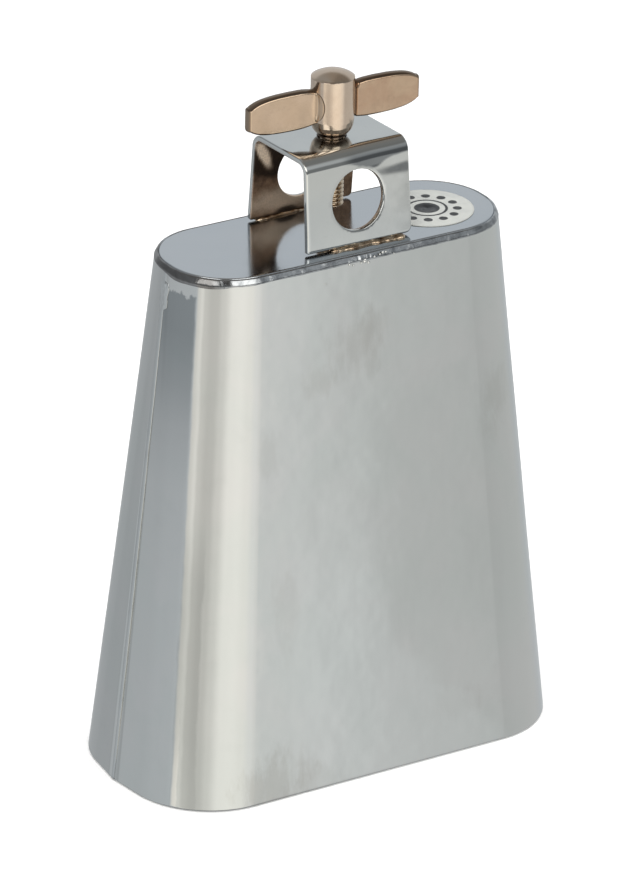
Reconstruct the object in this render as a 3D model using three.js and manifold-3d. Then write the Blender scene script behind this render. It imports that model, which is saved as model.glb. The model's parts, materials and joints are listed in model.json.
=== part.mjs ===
// A small stick-played cowbell with a rod bracket and a wing bolt clamp.
// Millimetres, +Z up. The origin is the centre of the open mouth, which lies in the plane z = 0.
// The long side of the mouth runs along X; the broad striking faces look along -Y (front)
// and +Y (rear). Left is -X, right is +X.
import * as THREE from "three";
import { mergeVertices } from "three/addons/utils/BufferGeometryUtils.js";
import Module from "manifold-3d";

// ---------------------------------------------------------------- driving dimensions
const SHEET = 1.2; // body sheet thickness
const PLATE = 1.4; // closing plate thickness
const TOP_Z = 127.0; // top of the closing plate (5 inch bell)
const SHELL_TOP = TOP_Z - PLATE; // the shells end under the plate
const FIT = 0.02; // gap between a weld and the parts it joins

// Body cross-sections. halfLength reaches to the end seams; the end flanks lean by
// flankAngle (radians), so the body is longest at y = 0.
const MOUTH = { halfLength: 55.95, halfDepth: 27.97, flankAngle: 0.12, cornerRadius: 20.65 };
const CROWN = { halfLength: 42.95, halfDepth: 16.5, flankAngle: 0, cornerRadius: 15.6 };
const CORNER_STEPS = 12; // segments on each body corner
const LEVELS = [0, 1 / 3, 2 / 3, 1]; // heights of the body rings, as parts of SHELL_TOP

// The end seams: a vee between the two shells, filled with weld.
const SEAM = {
  outerHalf: 0.6, // half width of the vee at the outside
  innerHalf: 0.1, // and at the inside
  outerFit: 0.03, // gap on each side of the weld at the outside
  proud: 0.12, // how far the weld stands out
};

const RIM_INSET = 1.1; // the plate's edge lies this far inside the body's outline

// Rod bracket, a strap bent into an upside-down U, its ears facing -Y and +Y.
// Heights are above the plate; angles are in radians.
const BRACKET = {
  x: 1.2,
  y: 1.5,
  yaw: 0.05,
  strap: 1.4, // strap thickness
  width: 28.3,
  depth: 25.0, // over the ears, at the plate
  height: 22.36,
  lean: 0.083, // each ear leans inward as it rises
  bendRadius: 3.4, // outside
  bendSteps: 7,
  earGap: 0.5, // the ears stand this far above the plate
};
const ROD_HOLE = { radius: 7.03, x: -0.13, z: 10.75, segments: 48 };
const BOLT_HOLE = { radius: 3.3, segments: 32 };
const BRAZE = { length: 22, shift: 1.2 }; // shift along the strap's width
const NUT = { acrossFlats: 10.0, height: 3.0, bore: 3.1, boreSegments: 24 }; // bore is a radius

const LABEL = { x: 26.2, y: -1.0, radius: 10.9, thickness: 0.16, gap: 0.01, segments: 64 };

// Wing bolt, standing in the bracket. Its parts are built round its own axis.
const BOLT = { x: 1.5, y: 1.5 };
const STUD = {
  tipZ: 132.0,
  tipRadius: 2.1,
  tipLength: 0.5, // taper below the thread
  threadTop: 149.5,
  runOut: 0.35, // from the last thread ring to the plain shank
  shankRadius: 2.9,
  topZ: 157.6,
  chamfer: 0.4,
  segments: 20,
};
// M6 coarse. A ridge's height is clamp(flankSlope * t - flankDrop), from root 0 to crest 1,
// where t falls from 1 at the crest line to 0 half a pitch away.
const THREAD = {
  pitch: 1.0,
  crestRadius: 2.98,
  rootRadius: 2.42,
  ringsPerPitch: 4,
  flankSlope: 1.35,
  flankDrop: 0.1,
};
const HUB = {
  baseZ: STUD.threadTop + 0.05,
  radius: 5.05,
  rimZ: 163.75, // the domed end starts here
  topZ: 165.3,
  boreRadius: 3.06,
  boreTop: STUD.topZ + 0.3,
  segments: 40,
};
const WING = {
  yaw: THREE.MathUtils.degToRad(-4.3),
  tilt: 0.03, // radians; raises the right wing and lowers the left
  thickness: 2.8,
  edgeSwell: 0.6, // the crowned edge stands this far outside the outline
  edgeDepth: 1.1, // and takes this much of the thickness on each face
  edgeSegments: 3,
  midZ: 157.2,
};

// ---------------------------------------------------------------- materials
const FINISH = {
  shell: { color: 0xb4b9b9, roughness: 0.18, metalness: 1 },
  seam: { color: 0x8f9597, roughness: 0.35, metalness: 1 },
  plate: { color: 0xa9b1b7, roughness: 0.14, metalness: 1 },
  bead: { color: 0x83888b, roughness: 0.3, metalness: 1 },
  bracket: { color: 0xb2b7b9, roughness: 0.16, metalness: 1 },
  braze: { color: 0x8a6a45, roughness: 0.32, metalness: 1 },
  nut: { color: 0x6f6a60, roughness: 0.4, metalness: 1 },
  label: { color: 0xe6e7e2, roughness: 0.45, metalness: 0 },
  stud: { color: 0x9a8160, roughness: 0.3, metalness: 1 },
  hub: { color: 0xb79f82, roughness: 0.22, metalness: 1 },
  wing: { color: 0xb99e82, roughness: 0.24, metalness: 1 },
};

// ---------------------------------------------------------------- solids
const wasm = await Module();
wasm.setup();

const toSolid = (geometry) => {
  // Normals and UVs would keep coincident vertices apart.
  geometry.deleteAttribute("normal");
  geometry.deleteAttribute("uv");
  const merged = mergeVertices(geometry, 1e-4);
  return new wasm.Manifold(
    new wasm.Mesh({
      numProp: 3,
      vertProperties: new Float32Array(merged.attributes.position.array),
      triVerts: new Uint32Array(merged.index.array),
    }),
  );
};

const toGeometry = (manifold) => {
  const mesh = manifold.getMesh();
  const geometry = new THREE.BufferGeometry();
  const positions = new Float32Array(mesh.vertProperties);
  geometry.setAttribute("position", new THREE.BufferAttribute(positions, 3));
  geometry.setIndex(new THREE.BufferAttribute(new Uint32Array(mesh.triVerts), 1));
  return geometry;
};

// ---------------------------------------------------------------- geometry builders
const indexed = (rings, indices) => {
  const geometry = new THREE.BufferGeometry();
  geometry.setAttribute("position", new THREE.Float32BufferAttribute(rings.flat(2), 3));
  geometry.setIndex(indices);
  return geometry;
};

// Skin through closed rings of equal length, lowest first, each anticlockwise seen from above,
// with flat ends. A strip ring (an outer line, then the inner line coming back) is capped
// pair by pair; a convex ring by a fan.
const skin = (rings, strip = false) => {
  const count = rings[0].length;
  const indices = [];
  for (let k = 0; k < rings.length - 1; k++) {
    for (let i = 0; i < count; i++) {
      const a = k * count + i;
      const b = k * count + ((i + 1) % count);
      indices.push(a, b, b + count, a, b + count, a + count);
    }
  }
  const cap = [];
  if (strip) {
    for (let i = 0; i < count / 2 - 1; i++) {
      const j = count - 1 - i;
      cap.push([i, i + 1, j], [i + 1, j - 1, j]);
    }
  } else {
    for (let i = 1; i < count - 1; i++) cap.push([0, i, i + 1]);
  }
  const last = (rings.length - 1) * count;
  for (const [a, b, c] of cap) indices.push(a, c, b, last + a, last + b, last + c);
  return indexed(rings, indices);
};

// A closed band: each section is a small polygon in space, anticlockwise seen along the loop;
// the sections run round the loop and join up.
const band = (sections) => {
  const count = sections[0].length;
  const indices = [];
  for (let k = 0; k < sections.length; k++) {
    const here = k * count;
    const next = ((k + 1) % sections.length) * count;
    for (let i = 0; i < count; i++) {
      const j = (i + 1) % count;
      indices.push(here + i, next + j, here + j, here + i, next + i, next + j);
    }
  }
  return indexed(sections, indices);
};

const shapeOf = (points) => new THREE.Shape(points.map(([x, y]) => new THREE.Vector2(x, y)));

const extrude = (shape, depth, options = {}) =>
  new THREE.ExtrudeGeometry(shape, { depth, bevelEnabled: false, ...options });

// Extrudes a (y, z) outline along X, centred on x = 0.
const extrudeAlongX = (points, length) => {
  const axes = [[0, 1, 0], [0, 0, 1], [1, 0, 0]].map((axis) => new THREE.Vector3(...axis));
  return extrude(shapeOf(points), length)
    .applyMatrix4(new THREE.Matrix4().makeBasis(...axes))
    .translate(-length / 2, 0, 0);
};

// Cylinder centred on the origin, its axis along Z.
const uprightCylinder = (radius, height, segments) =>
  new THREE.CylinderGeometry(radius, radius, height, segments).rotateX(Math.PI / 2);

const arc = (centreX, centreY, radius, from, to, steps) =>
  Array.from({ length: steps + 1 }, (_, i) => {
    const angle = from + ((to - from) * i) / steps;
    return [centreX + radius * Math.cos(angle), centreY + radius * Math.sin(angle)];
  });

// A half outline followed by its mirror image across the second axis.
const withMirror = (half) => [...half, ...half.map(([x, y]) => [-x, y]).reverse()];

// Mirrored ring, reversed so that it stays anticlockwise.
const flipX = (ring) => ring.map(([x, y]) => [-x, y]).reverse();
const flipY = (ring) => ring.map(([x, y]) => [x, -y]).reverse();

// ---------------------------------------------------------------- body outline
// Front half of the outline, from the left end seam round to the right one.
// inset moves it inward by a constant distance; its two ends lie at y = -seamHalf.
const frontHalf = (section, inset, seamHalf) => {
  const { flankAngle } = section;
  const cos = Math.cos(flankAngle);
  const halfLength = section.halfLength - inset / cos;
  const radius = section.cornerRadius - inset;
  const centreY = radius - (section.halfDepth - inset);
  const centreX = (radius - centreY * Math.sin(flankAngle)) / cos - halfLength;
  return withMirror([
    [-halfLength + seamHalf * Math.tan(flankAngle), -seamHalf],
    ...arc(centreX, centreY, radius, Math.PI + flankAngle, 1.5 * Math.PI, CORNER_STEPS),
  ]);
};

const fullOutline = (section, inset) => {
  const front = frontHalf(section, inset, 0);
  return [...front, ...flipY(front.slice(1, -1))];
};

// Skin from the mouth to the crown; ringOf gives the ring of a body cross-section.
const loftBody = (ringOf, strip) => {
  const low = ringOf(MOUTH);
  const high = ringOf(CROWN);
  const ringAt = (t) =>
    low.map(([x, y], i) => [x + (high[i][0] - x) * t, y + (high[i][1] - y) * t, SHELL_TOP * t]);
  return skin(LEVELS.map(ringAt), strip);
};

// ---------------------------------------------------------------- body pieces
const frontShellRing = (section) => [
  ...frontHalf(section, 0, SEAM.outerHalf),
  ...frontHalf(section, SHEET, SEAM.innerHalf).reverse(),
];

const leftSeamRing = (section) => {
  const slope = Math.tan(section.flankAngle);
  const outerX = -section.halfLength;
  const innerX = outerX + SHEET / Math.cos(section.flankAngle);
  const outer = SEAM.outerHalf - SEAM.outerFit;
  const inner = SEAM.innerHalf - FIT;
  return [
    [innerX + inner * slope, inner],
    [outerX + outer * slope, outer],
    [outerX - SEAM.proud, 0],
    [outerX + outer * slope, -outer],
    [innerX + inner * slope, -inner],
  ];
};

const topPlate = () =>
  extrude(shapeOf(fullOutline(CROWN, RIM_INSET)), PLATE).translate(0, 0, SHELL_TOP);

// Weld bead round the plate's edge.
const rimBead = () => {
  // [inset from the body's outline, height above the shells], from the inner foot
  const profile = [
    [RIM_INSET - FIT, FIT],
    [0, FIT],
    [-0.12, 0.35],
    [0.1, 0.85],
    [0.5, 1.2],
    [RIM_INSET - FIT, PLATE - 0.04],
  ];
  const loops = profile.map(([inset, height]) =>
    fullOutline(CROWN, inset).map(([x, y]) => [x, y, SHELL_TOP + height]),
  );
  return band(loops[0].map((_, i) => loops.map((loop) => loop[i])));
};

// ---------------------------------------------------------------- rod bracket
const bracketPlace = new THREE.Matrix4()
  .makeRotationZ(BRACKET.yaw)
  .setPosition(BRACKET.x, BRACKET.y, TOP_Z);

// One face of the strap as (y, z) points, from the front ear's foot over to the rear one's.
const strapLine = (inset) => {
  const { depth, height, lean, bendRadius, bendSteps, earGap } = BRACKET;
  const cos = Math.cos(lean);
  const centreZ = height - bendRadius;
  const centreY = (bendRadius + centreZ * Math.sin(lean)) / cos - depth / 2;
  return withMirror([
    [-depth / 2 + inset / cos + earGap * Math.tan(lean), earGap],
    ...arc(centreY, centreZ, bendRadius - inset, Math.PI - lean, Math.PI / 2, bendSteps),
  ]);
};

const bracket = () => {
  const outline = [...strapLine(0), ...strapLine(BRACKET.strap).reverse()];
  const strap = toSolid(extrudeAlongX(outline, BRACKET.width));

  const rodLength = 60; // passes through both ears
  const rod = new THREE.CylinderGeometry(
    ROD_HOLE.radius,
    ROD_HOLE.radius,
    rodLength,
    ROD_HOLE.segments,
  ).translate(ROD_HOLE.x, 0, ROD_HOLE.z);

  // The bolt's axis, taken into the bracket's own frame.
  const axis = new THREE.Vector3(BOLT.x, BOLT.y, TOP_Z + BRACKET.height);
  axis.applyMatrix4(bracketPlace.clone().invert());
  const shaftLength = 20; // passes through the bracket's top only
  const shaft = uprightCylinder(BOLT_HOLE.radius, shaftLength, BOLT_HOLE.segments);
  shaft.translate(axis.x, axis.y, axis.z);

  const cut = strap.subtract(toSolid(rod)).subtract(toSolid(shaft));
  return toGeometry(cut).applyMatrix4(bracketPlace);
};

// Braze under the front ear: fills the gap below it and swells out in front of it.
// The rear one is the same piece turned half round.
const earBraze = (turn) => {
  const { depth, lean, earGap, strap } = BRACKET;
  const earY = -depth / 2 + earGap * Math.tan(lean); // outer face of the ear at its foot
  const profile = [
    [earY - 1.15, 0],
    [earY - 0.9, 0.24],
    [earY - 0.45, earGap - 0.08],
    [earY, earGap - FIT],
    [earY + strap, earGap - FIT],
    [earY + strap + 0.35, 0],
  ];
  return extrudeAlongX(profile, BRAZE.length)
    .translate(BRAZE.shift, 0, 0)
    .rotateZ(turn)
    .applyMatrix4(bracketPlace);
};

// Thin hex nut fixed under the bracket's top, round the bolt.
const bracketNut = () => {
  const cornerRadius = NUT.acrossFlats / 2 / Math.cos(Math.PI / 6);
  const hexagon = shapeOf(arc(0, 0, cornerRadius, 0, (5 * Math.PI) / 3, 5));
  hexagon.holes.push(new THREE.Path().absarc(0, 0, NUT.bore, 0, 2 * Math.PI, true));
  const baseZ = TOP_Z + BRACKET.height - BRACKET.strap - FIT - NUT.height;
  return extrude(hexagon, NUT.height, { curveSegments: NUT.boreSegments })
    .translate(BOLT.x, BOLT.y, baseZ);
};

// ---------------------------------------------------------------- label on the closing plate
const labelDisc = () =>
  uprightCylinder(LABEL.radius, LABEL.thickness, LABEL.segments)
    .translate(LABEL.x, LABEL.y, TOP_Z + LABEL.gap + LABEL.thickness / 2);

// ---------------------------------------------------------------- wing bolt
// Radius of the right-hand thread at height z and a given part of a turn.
const threadRadius = (z, turn) => {
  const { pitch, crestRadius, rootRadius, flankSlope, flankDrop } = THREAD;
  const phase = THREE.MathUtils.euclideanModulo(z / pitch - turn, 1);
  const nearCrest = Math.abs(2 * phase - 1);
  const ridge = THREE.MathUtils.clamp(flankSlope * nearCrest - flankDrop, 0, 1);
  return rootRadius + (crestRadius - rootRadius) * ridge;
};

const clampStud = () => {
  const ring = (z, radiusAt) =>
    Array.from({ length: STUD.segments }, (_, k) => {
      const turn = k / STUD.segments;
      const angle = turn * 2 * Math.PI;
      const radius = radiusAt(z, turn);
      return [radius * Math.cos(angle), radius * Math.sin(angle), z];
    });
  const circle = (z, radius) => ring(z, () => radius);

  const threadBase = STUD.tipZ + STUD.tipLength;
  const rise = THREAD.pitch / THREAD.ringsPerPitch;
  const steps = Math.round((STUD.threadTop - threadBase) / rise);
  const rings = [circle(STUD.tipZ, STUD.tipRadius)];
  for (let i = 0; i <= steps; i++) rings.push(ring(threadBase + i * rise, threadRadius));
  rings.push(
    circle(threadBase + steps * rise + STUD.runOut, STUD.shankRadius),
    circle(STUD.topZ - STUD.chamfer, STUD.shankRadius),
    circle(STUD.topZ, STUD.shankRadius - STUD.chamfer),
  );
  return skin(rings);
};

// Hub turned on the bolt's axis, with a blind bore that takes the stud.
const clampHub = () => {
  // [radius, height above the hub's base]: the grooved collar and the flare above it
  const flare = [
    [3.4, 0], [3.5, 0.2], [3.5, 0.45], [3.35, 0.65], [3.7, 0.95],
    [4.2, 1.45], [4.65, 2.15], [4.92, 2.95], [HUB.radius, 3.8],
  ];
  // [radius, z]: the domed end
  const dome = [
    [HUB.radius, HUB.rimZ - 0.25], [HUB.radius - 0.12, HUB.rimZ],
    [4.0, 164.4], [2.6, 164.93], [1.3, 165.2], [0, HUB.topZ],
  ];
  const profile = [
    [HUB.boreRadius, HUB.boreTop],
    [HUB.boreRadius, HUB.baseZ],
    ...flare.map(([radius, height]) => [radius, HUB.baseZ + height]),
    ...dome,
    [0, HUB.boreTop],
    [HUB.boreRadius, HUB.boreTop],
  ];
  const points = profile.map(([radius, z]) => new THREE.Vector2(radius, z));
  const lathe = new THREE.LatheGeometry(points, HUB.segments);
  lathe.rotateX(Math.PI / 2); // the lathe's Y becomes Z
  return toGeometry(toSolid(lathe));
};

// [distance out from the bolt's axis, half height] along a wing
const WING_OUTLINE = [
  [3.9, 3.3], [5.0, 3.5], [6.0, 3.75], [8.0, 4.06], [11.0, 4.12], [14.0, 4.06],
  [16.0, 3.92], [18.0, 3.65], [19.5, 3.25], [20.5, 2.8], [21.25, 2.2],
];

// Flat wing with crowned edges, cut to the hub's round side. turn sets the side it points to.
const wing = (turn) => {
  const outline = [...WING_OUTLINE.map(([x, z]) => [x, -z]), ...WING_OUTLINE.toReversed()];
  const flatDepth = WING.thickness - 2 * WING.edgeDepth;
  const blank = extrude(shapeOf(outline), flatDepth, {
    bevelEnabled: true,
    bevelThickness: WING.edgeDepth,
    bevelSize: WING.edgeSwell,
    bevelSegments: WING.edgeSegments,
  })
    .translate(0, 0, -flatDepth / 2)
    .rotateX(Math.PI / 2) // the outline's up becomes Z
    .rotateZ(turn)
    .rotateY(-WING.tilt)
    .rotateZ(WING.yaw)
    .translate(0, 0, WING.midZ);
  const hubCutter = uprightCylinder(HUB.radius + FIT, 60, HUB.segments);
  hubCutter.translate(0, 0, WING.midZ);
  return toGeometry(toSolid(blank).subtract(toSolid(hubCutter)));
};

// ---------------------------------------------------------------- assembly
const bell = new THREE.Group();
const bolt = new THREE.Group();
bolt.position.set(BOLT.x, BOLT.y, 0);

const add = (parent, name, geometry, finish) => {
  geometry.computeVertexNormals();
  const mesh = new THREE.Mesh(geometry, new THREE.MeshStandardMaterial(finish));
  mesh.name = name;
  parent.add(mesh);
};

add(bell, "front_shell", loftBody(frontShellRing, true), FINISH.shell);
add(bell, "rear_shell", loftBody((s) => flipY(frontShellRing(s)), true), FINISH.shell);
add(bell, "left_seam_weld", loftBody(leftSeamRing), FINISH.seam);
add(bell, "right_seam_weld", loftBody((s) => flipX(leftSeamRing(s))), FINISH.seam);
add(bell, "top_plate", topPlate(), FINISH.plate);
add(bell, "top_rim_weld", rimBead(), FINISH.bead);
add(bell, "mounting_bracket", bracket(), FINISH.bracket);
add(bell, "bracket_braze_front", earBraze(0), FINISH.braze);
add(bell, "bracket_braze_rear", earBraze(Math.PI), FINISH.braze);
add(bell, "bracket_nut", bracketNut(), FINISH.nut);
add(bell, "label_disc", labelDisc(), FINISH.label);

bell.add(bolt);
add(bolt, "clamp_stud", clampStud(), FINISH.stud);
add(bolt, "clamp_hub", clampHub(), FINISH.hub);
add(bolt, "left_wing", wing(Math.PI), FINISH.wing);
add(bolt, "right_wing", wing(0), FINISH.wing);

export default bell;
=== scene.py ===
import json
import math

import bmesh
import bpy
import numpy as np
from mathutils import Matrix, Vector
from mathutils import noise as mnoise
from mathutils.geometry import delaunay_2d_cdt


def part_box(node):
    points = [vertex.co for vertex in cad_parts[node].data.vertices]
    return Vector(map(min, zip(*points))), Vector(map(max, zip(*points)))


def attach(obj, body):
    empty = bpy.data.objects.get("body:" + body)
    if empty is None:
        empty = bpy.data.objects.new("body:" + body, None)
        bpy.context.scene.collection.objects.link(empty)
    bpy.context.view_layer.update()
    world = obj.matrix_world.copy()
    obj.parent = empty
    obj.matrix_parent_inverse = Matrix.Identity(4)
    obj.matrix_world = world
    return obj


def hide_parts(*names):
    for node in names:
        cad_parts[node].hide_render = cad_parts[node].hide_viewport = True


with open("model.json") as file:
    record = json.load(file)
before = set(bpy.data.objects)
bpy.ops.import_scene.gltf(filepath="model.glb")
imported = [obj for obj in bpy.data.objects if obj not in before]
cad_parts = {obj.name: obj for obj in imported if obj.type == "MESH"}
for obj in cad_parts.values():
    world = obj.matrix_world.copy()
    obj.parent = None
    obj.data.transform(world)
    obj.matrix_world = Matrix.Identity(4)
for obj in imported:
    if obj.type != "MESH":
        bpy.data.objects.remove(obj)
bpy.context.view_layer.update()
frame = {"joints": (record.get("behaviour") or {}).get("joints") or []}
bpy.context.scene.view_settings.view_transform = "Standard"
bpy.context.scene.view_settings.look = "None"

# ------------------------------------------------------------------ sizes, in millimetres, from the frame
MM = 0.001


def mm_box(node):
    lo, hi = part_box(node)
    return np.array(lo) * 1000.0, np.array(hi) * 1000.0


plate_lo, plate_hi = mm_box("top_plate")
shell_lo, shell_hi = mm_box("front_shell")
brk_lo, brk_hi = mm_box("mounting_bracket")
hub_lo, hub_hi = mm_box("clamp_hub")
stud_lo, stud_hi = mm_box("clamp_stud")
nut_lo, nut_hi = mm_box("bracket_nut")
lab_lo, lab_hi = mm_box("label_disc")
wing_lo, wing_hi = mm_box("right_wing")
turn = [j for j in frame["joints"] if j["type"] == "hinge"][0]
AX, AY = turn["pos_m"][0] * 1000.0, turn["pos_m"][1] * 1000.0

TOP = float(plate_hi[2])
SHELL_TOP = float(shell_hi[2])
SHEET = 1.2
MOUTH = dict(a=float(shell_hi[0]) + 0.07, b=-float(shell_lo[1]), phi=0.12, r=20.65)
CROWN = dict(a=float(plate_hi[0]) + 1.1, b=float(plate_hi[1]) + 1.1, phi=0.0, r=15.6)
RIM = 1.1


def n3(x, y, z, seed=0.0):
    """Smooth noise, about -1 to 1, repeatable."""
    return mnoise.noise(Vector((x + 13.7 * seed, y - 7.1 * seed, z + 3.3 * seed)))


def fbm(x, y, z, seed=0.0, octaves=3):
    s, a = 0.0, 1.0
    for k in range(octaves):
        f = 2.0 ** k
        s += a * n3(x * f, y * f, z * f, seed + k)
        a *= 0.5
    return s


def smooth(a, b, x):
    t = min(1.0, max(0.0, (x - a) / (b - a)))
    return t * t * (3 - 2 * t)


# ------------------------------------------------------------------ mesh helpers
def make(name, verts, faces, body, mat, replaces=(), smooth_shade=True, weighted=True, attr=None):
    me = bpy.data.meshes.new(name)
    me.from_pydata([tuple(float(c) * MM for c in v) for v in verts], [], [tuple(int(i) for i in f) for f in faces])
    me.validate()
    if attr is not None:
        for key, values in attr.items():
            at = me.attributes.new(key, "FLOAT", "POINT")
            at.data.foreach_set("value", np.asarray(values, np.float32))
    if smooth_shade:
        me.polygons.foreach_set("use_smooth", [True] * len(me.polygons))
    me.materials.append(mat)
    me.update()
    ob = bpy.data.objects.new(name, me)
    bpy.context.scene.collection.objects.link(ob)
    if weighted:
        m = ob.modifiers.new("weighted", "WEIGHTED_NORMAL")
        m.mode = "FACE_AREA"
        m.weight = 60
        m.keep_sharp = True
    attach(ob, body)
    for n in replaces:
        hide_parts(n)
    return ob


def tidy(ob):
    """Merge doubled points and point every face outward."""
    bm = bmesh.new()
    bm.from_mesh(ob.data)
    bmesh.ops.remove_doubles(bm, verts=bm.verts, dist=1e-7)
    bmesh.ops.recalc_face_normals(bm, faces=bm.faces)
    bm.to_mesh(ob.data)
    bm.free()
    ob.data.polygons.foreach_set("use_smooth", [True] * len(ob.data.polygons))
    ob.data.update()
    return ob


def grid_faces(rows, cols, wrap_rows=False, wrap_cols=False, base=0):
    out = []
    for i in range(rows if wrap_rows else rows - 1):
        for j in range(cols if wrap_cols else cols - 1):
            a = base + i * cols + j
            b = base + i * cols + (j + 1) % cols
            c = base + ((i + 1) % rows) * cols + (j + 1) % cols
            d = base + ((i + 1) % rows) * cols + j
            out.append((a, b, c, d))
    return out


# ------------------------------------------------------------------ materials
class Nodes:
    """A small helper that builds shader nodes and links them."""

    def __init__(self, tree):
        self.t = tree

    def n(self, kind, **props):
        node = self.t.nodes.new(kind)
        for k, v in props.items():
            setattr(node, k, v)
        return node

    def link(self, a, b):
        self.t.links.new(a, b)

    def put(self, value, socket):
        if isinstance(value, bpy.types.NodeSocket):
            self.link(value, socket)
        elif value is not None:
            socket.default_value = value

    def math(self, op, a, b=None, c=None, clamp=False):
        m = self.n("ShaderNodeMath", operation=op)
        m.use_clamp = clamp
        self.put(a, m.inputs[0])
        self.put(b, m.inputs[1])
        self.put(c, m.inputs[2])
        return m.outputs[0]

    def vmath(self, op, a, b=None):
        m = self.n("ShaderNodeVectorMath", operation=op)
        self.put(a, m.inputs[0])
        self.put(b, m.inputs[1])
        return m.outputs[0] if op not in ("LENGTH", "DOT_PRODUCT") else m.outputs["Value"]

    def sep(self, v):
        s = self.n("ShaderNodeSeparateXYZ")
        self.link(v, s.inputs[0])
        return s.outputs[0], s.outputs[1], s.outputs[2]

    def comb(self, x, y, z):
        s = self.n("ShaderNodeCombineXYZ")
        for v, i in zip((x, y, z), s.inputs):
            self.put(v, i)
        return s.outputs[0]

    def ramp(self, fac, stops, mode="EASE"):
        r = self.n("ShaderNodeValToRGB")
        r.color_ramp.interpolation = mode
        el = r.color_ramp.elements
        while len(el) > 1:
            el.remove(el[-1])
        el[0].position, el[0].color = stops[0][0], (*stops[0][1], 1) if len(stops[0][1]) == 3 else stops[0][1]
        for p, c in stops[1:]:
            e = el.new(p)
            e.color = (*c, 1) if len(c) == 3 else c
        self.put(fac, r.inputs[0])
        return r.outputs[0]

    def span(self, v, a, b, lo=0.0, hi=1.0, kind="SMOOTHSTEP"):
        m = self.n("ShaderNodeMapRange", interpolation_type=kind)
        self.put(v, m.inputs[0])
        m.inputs[1].default_value = a
        m.inputs[2].default_value = b
        m.inputs[3].default_value = lo
        m.inputs[4].default_value = hi
        return m.outputs[0]

    def mix(self, fac, a, b, kind="MIX"):
        m = self.n("ShaderNodeMix", data_type="RGBA", blend_type=kind)
        self.put(fac, m.inputs[0])
        for v, i in ((a, 6), (b, 7)):
            if isinstance(v, tuple) and len(v) == 3:
                v = (*v, 1)
            self.put(v, m.inputs[i])
        return m.outputs[2]

    def noise(self, vec, scale, detail=2.0, rough=0.5, distort=0.0):
        m = self.n("ShaderNodeTexNoise")
        self.put(vec, m.inputs["Vector"])
        m.inputs["Scale"].default_value = scale
        m.inputs["Detail"].default_value = detail
        m.inputs["Roughness"].default_value = rough
        m.inputs["Distortion"].default_value = distort
        return m.outputs[0]

    def voronoi(self, vec, scale, feature="F1", out="Distance"):
        m = self.n("ShaderNodeTexVoronoi", feature=feature)
        self.put(vec, m.inputs["Vector"])
        m.inputs["Scale"].default_value = scale
        return m.outputs[out]

    def bump(self, height, dist_mm, strength=1.0, normal=None):
        m = self.n("ShaderNodeBump")
        m.inputs["Strength"].default_value = strength
        m.inputs["Distance"].default_value = dist_mm * MM
        self.put(height, m.inputs["Height"])
        if normal is not None:
            self.put(normal, m.inputs["Normal"])
        return m.outputs[0]


def new_material(name):
    m = bpy.data.materials.new(name)
    m.use_nodes = True
    m.node_tree.nodes.clear()
    n = Nodes(m.node_tree)
    out = n.n("ShaderNodeOutputMaterial")
    bsdf = n.n("ShaderNodeBsdfPrincipled")
    n.link(bsdf.outputs[0], out.inputs[0])
    tex = n.n("ShaderNodeTexCoord")
    mp = n.n("ShaderNodeMapping")
    mp.inputs["Scale"].default_value = (1000, 1000, 1000)
    n.link(tex.outputs["Object"], mp.inputs["Vector"])
    return m, n, bsdf, mp.outputs[0]


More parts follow.
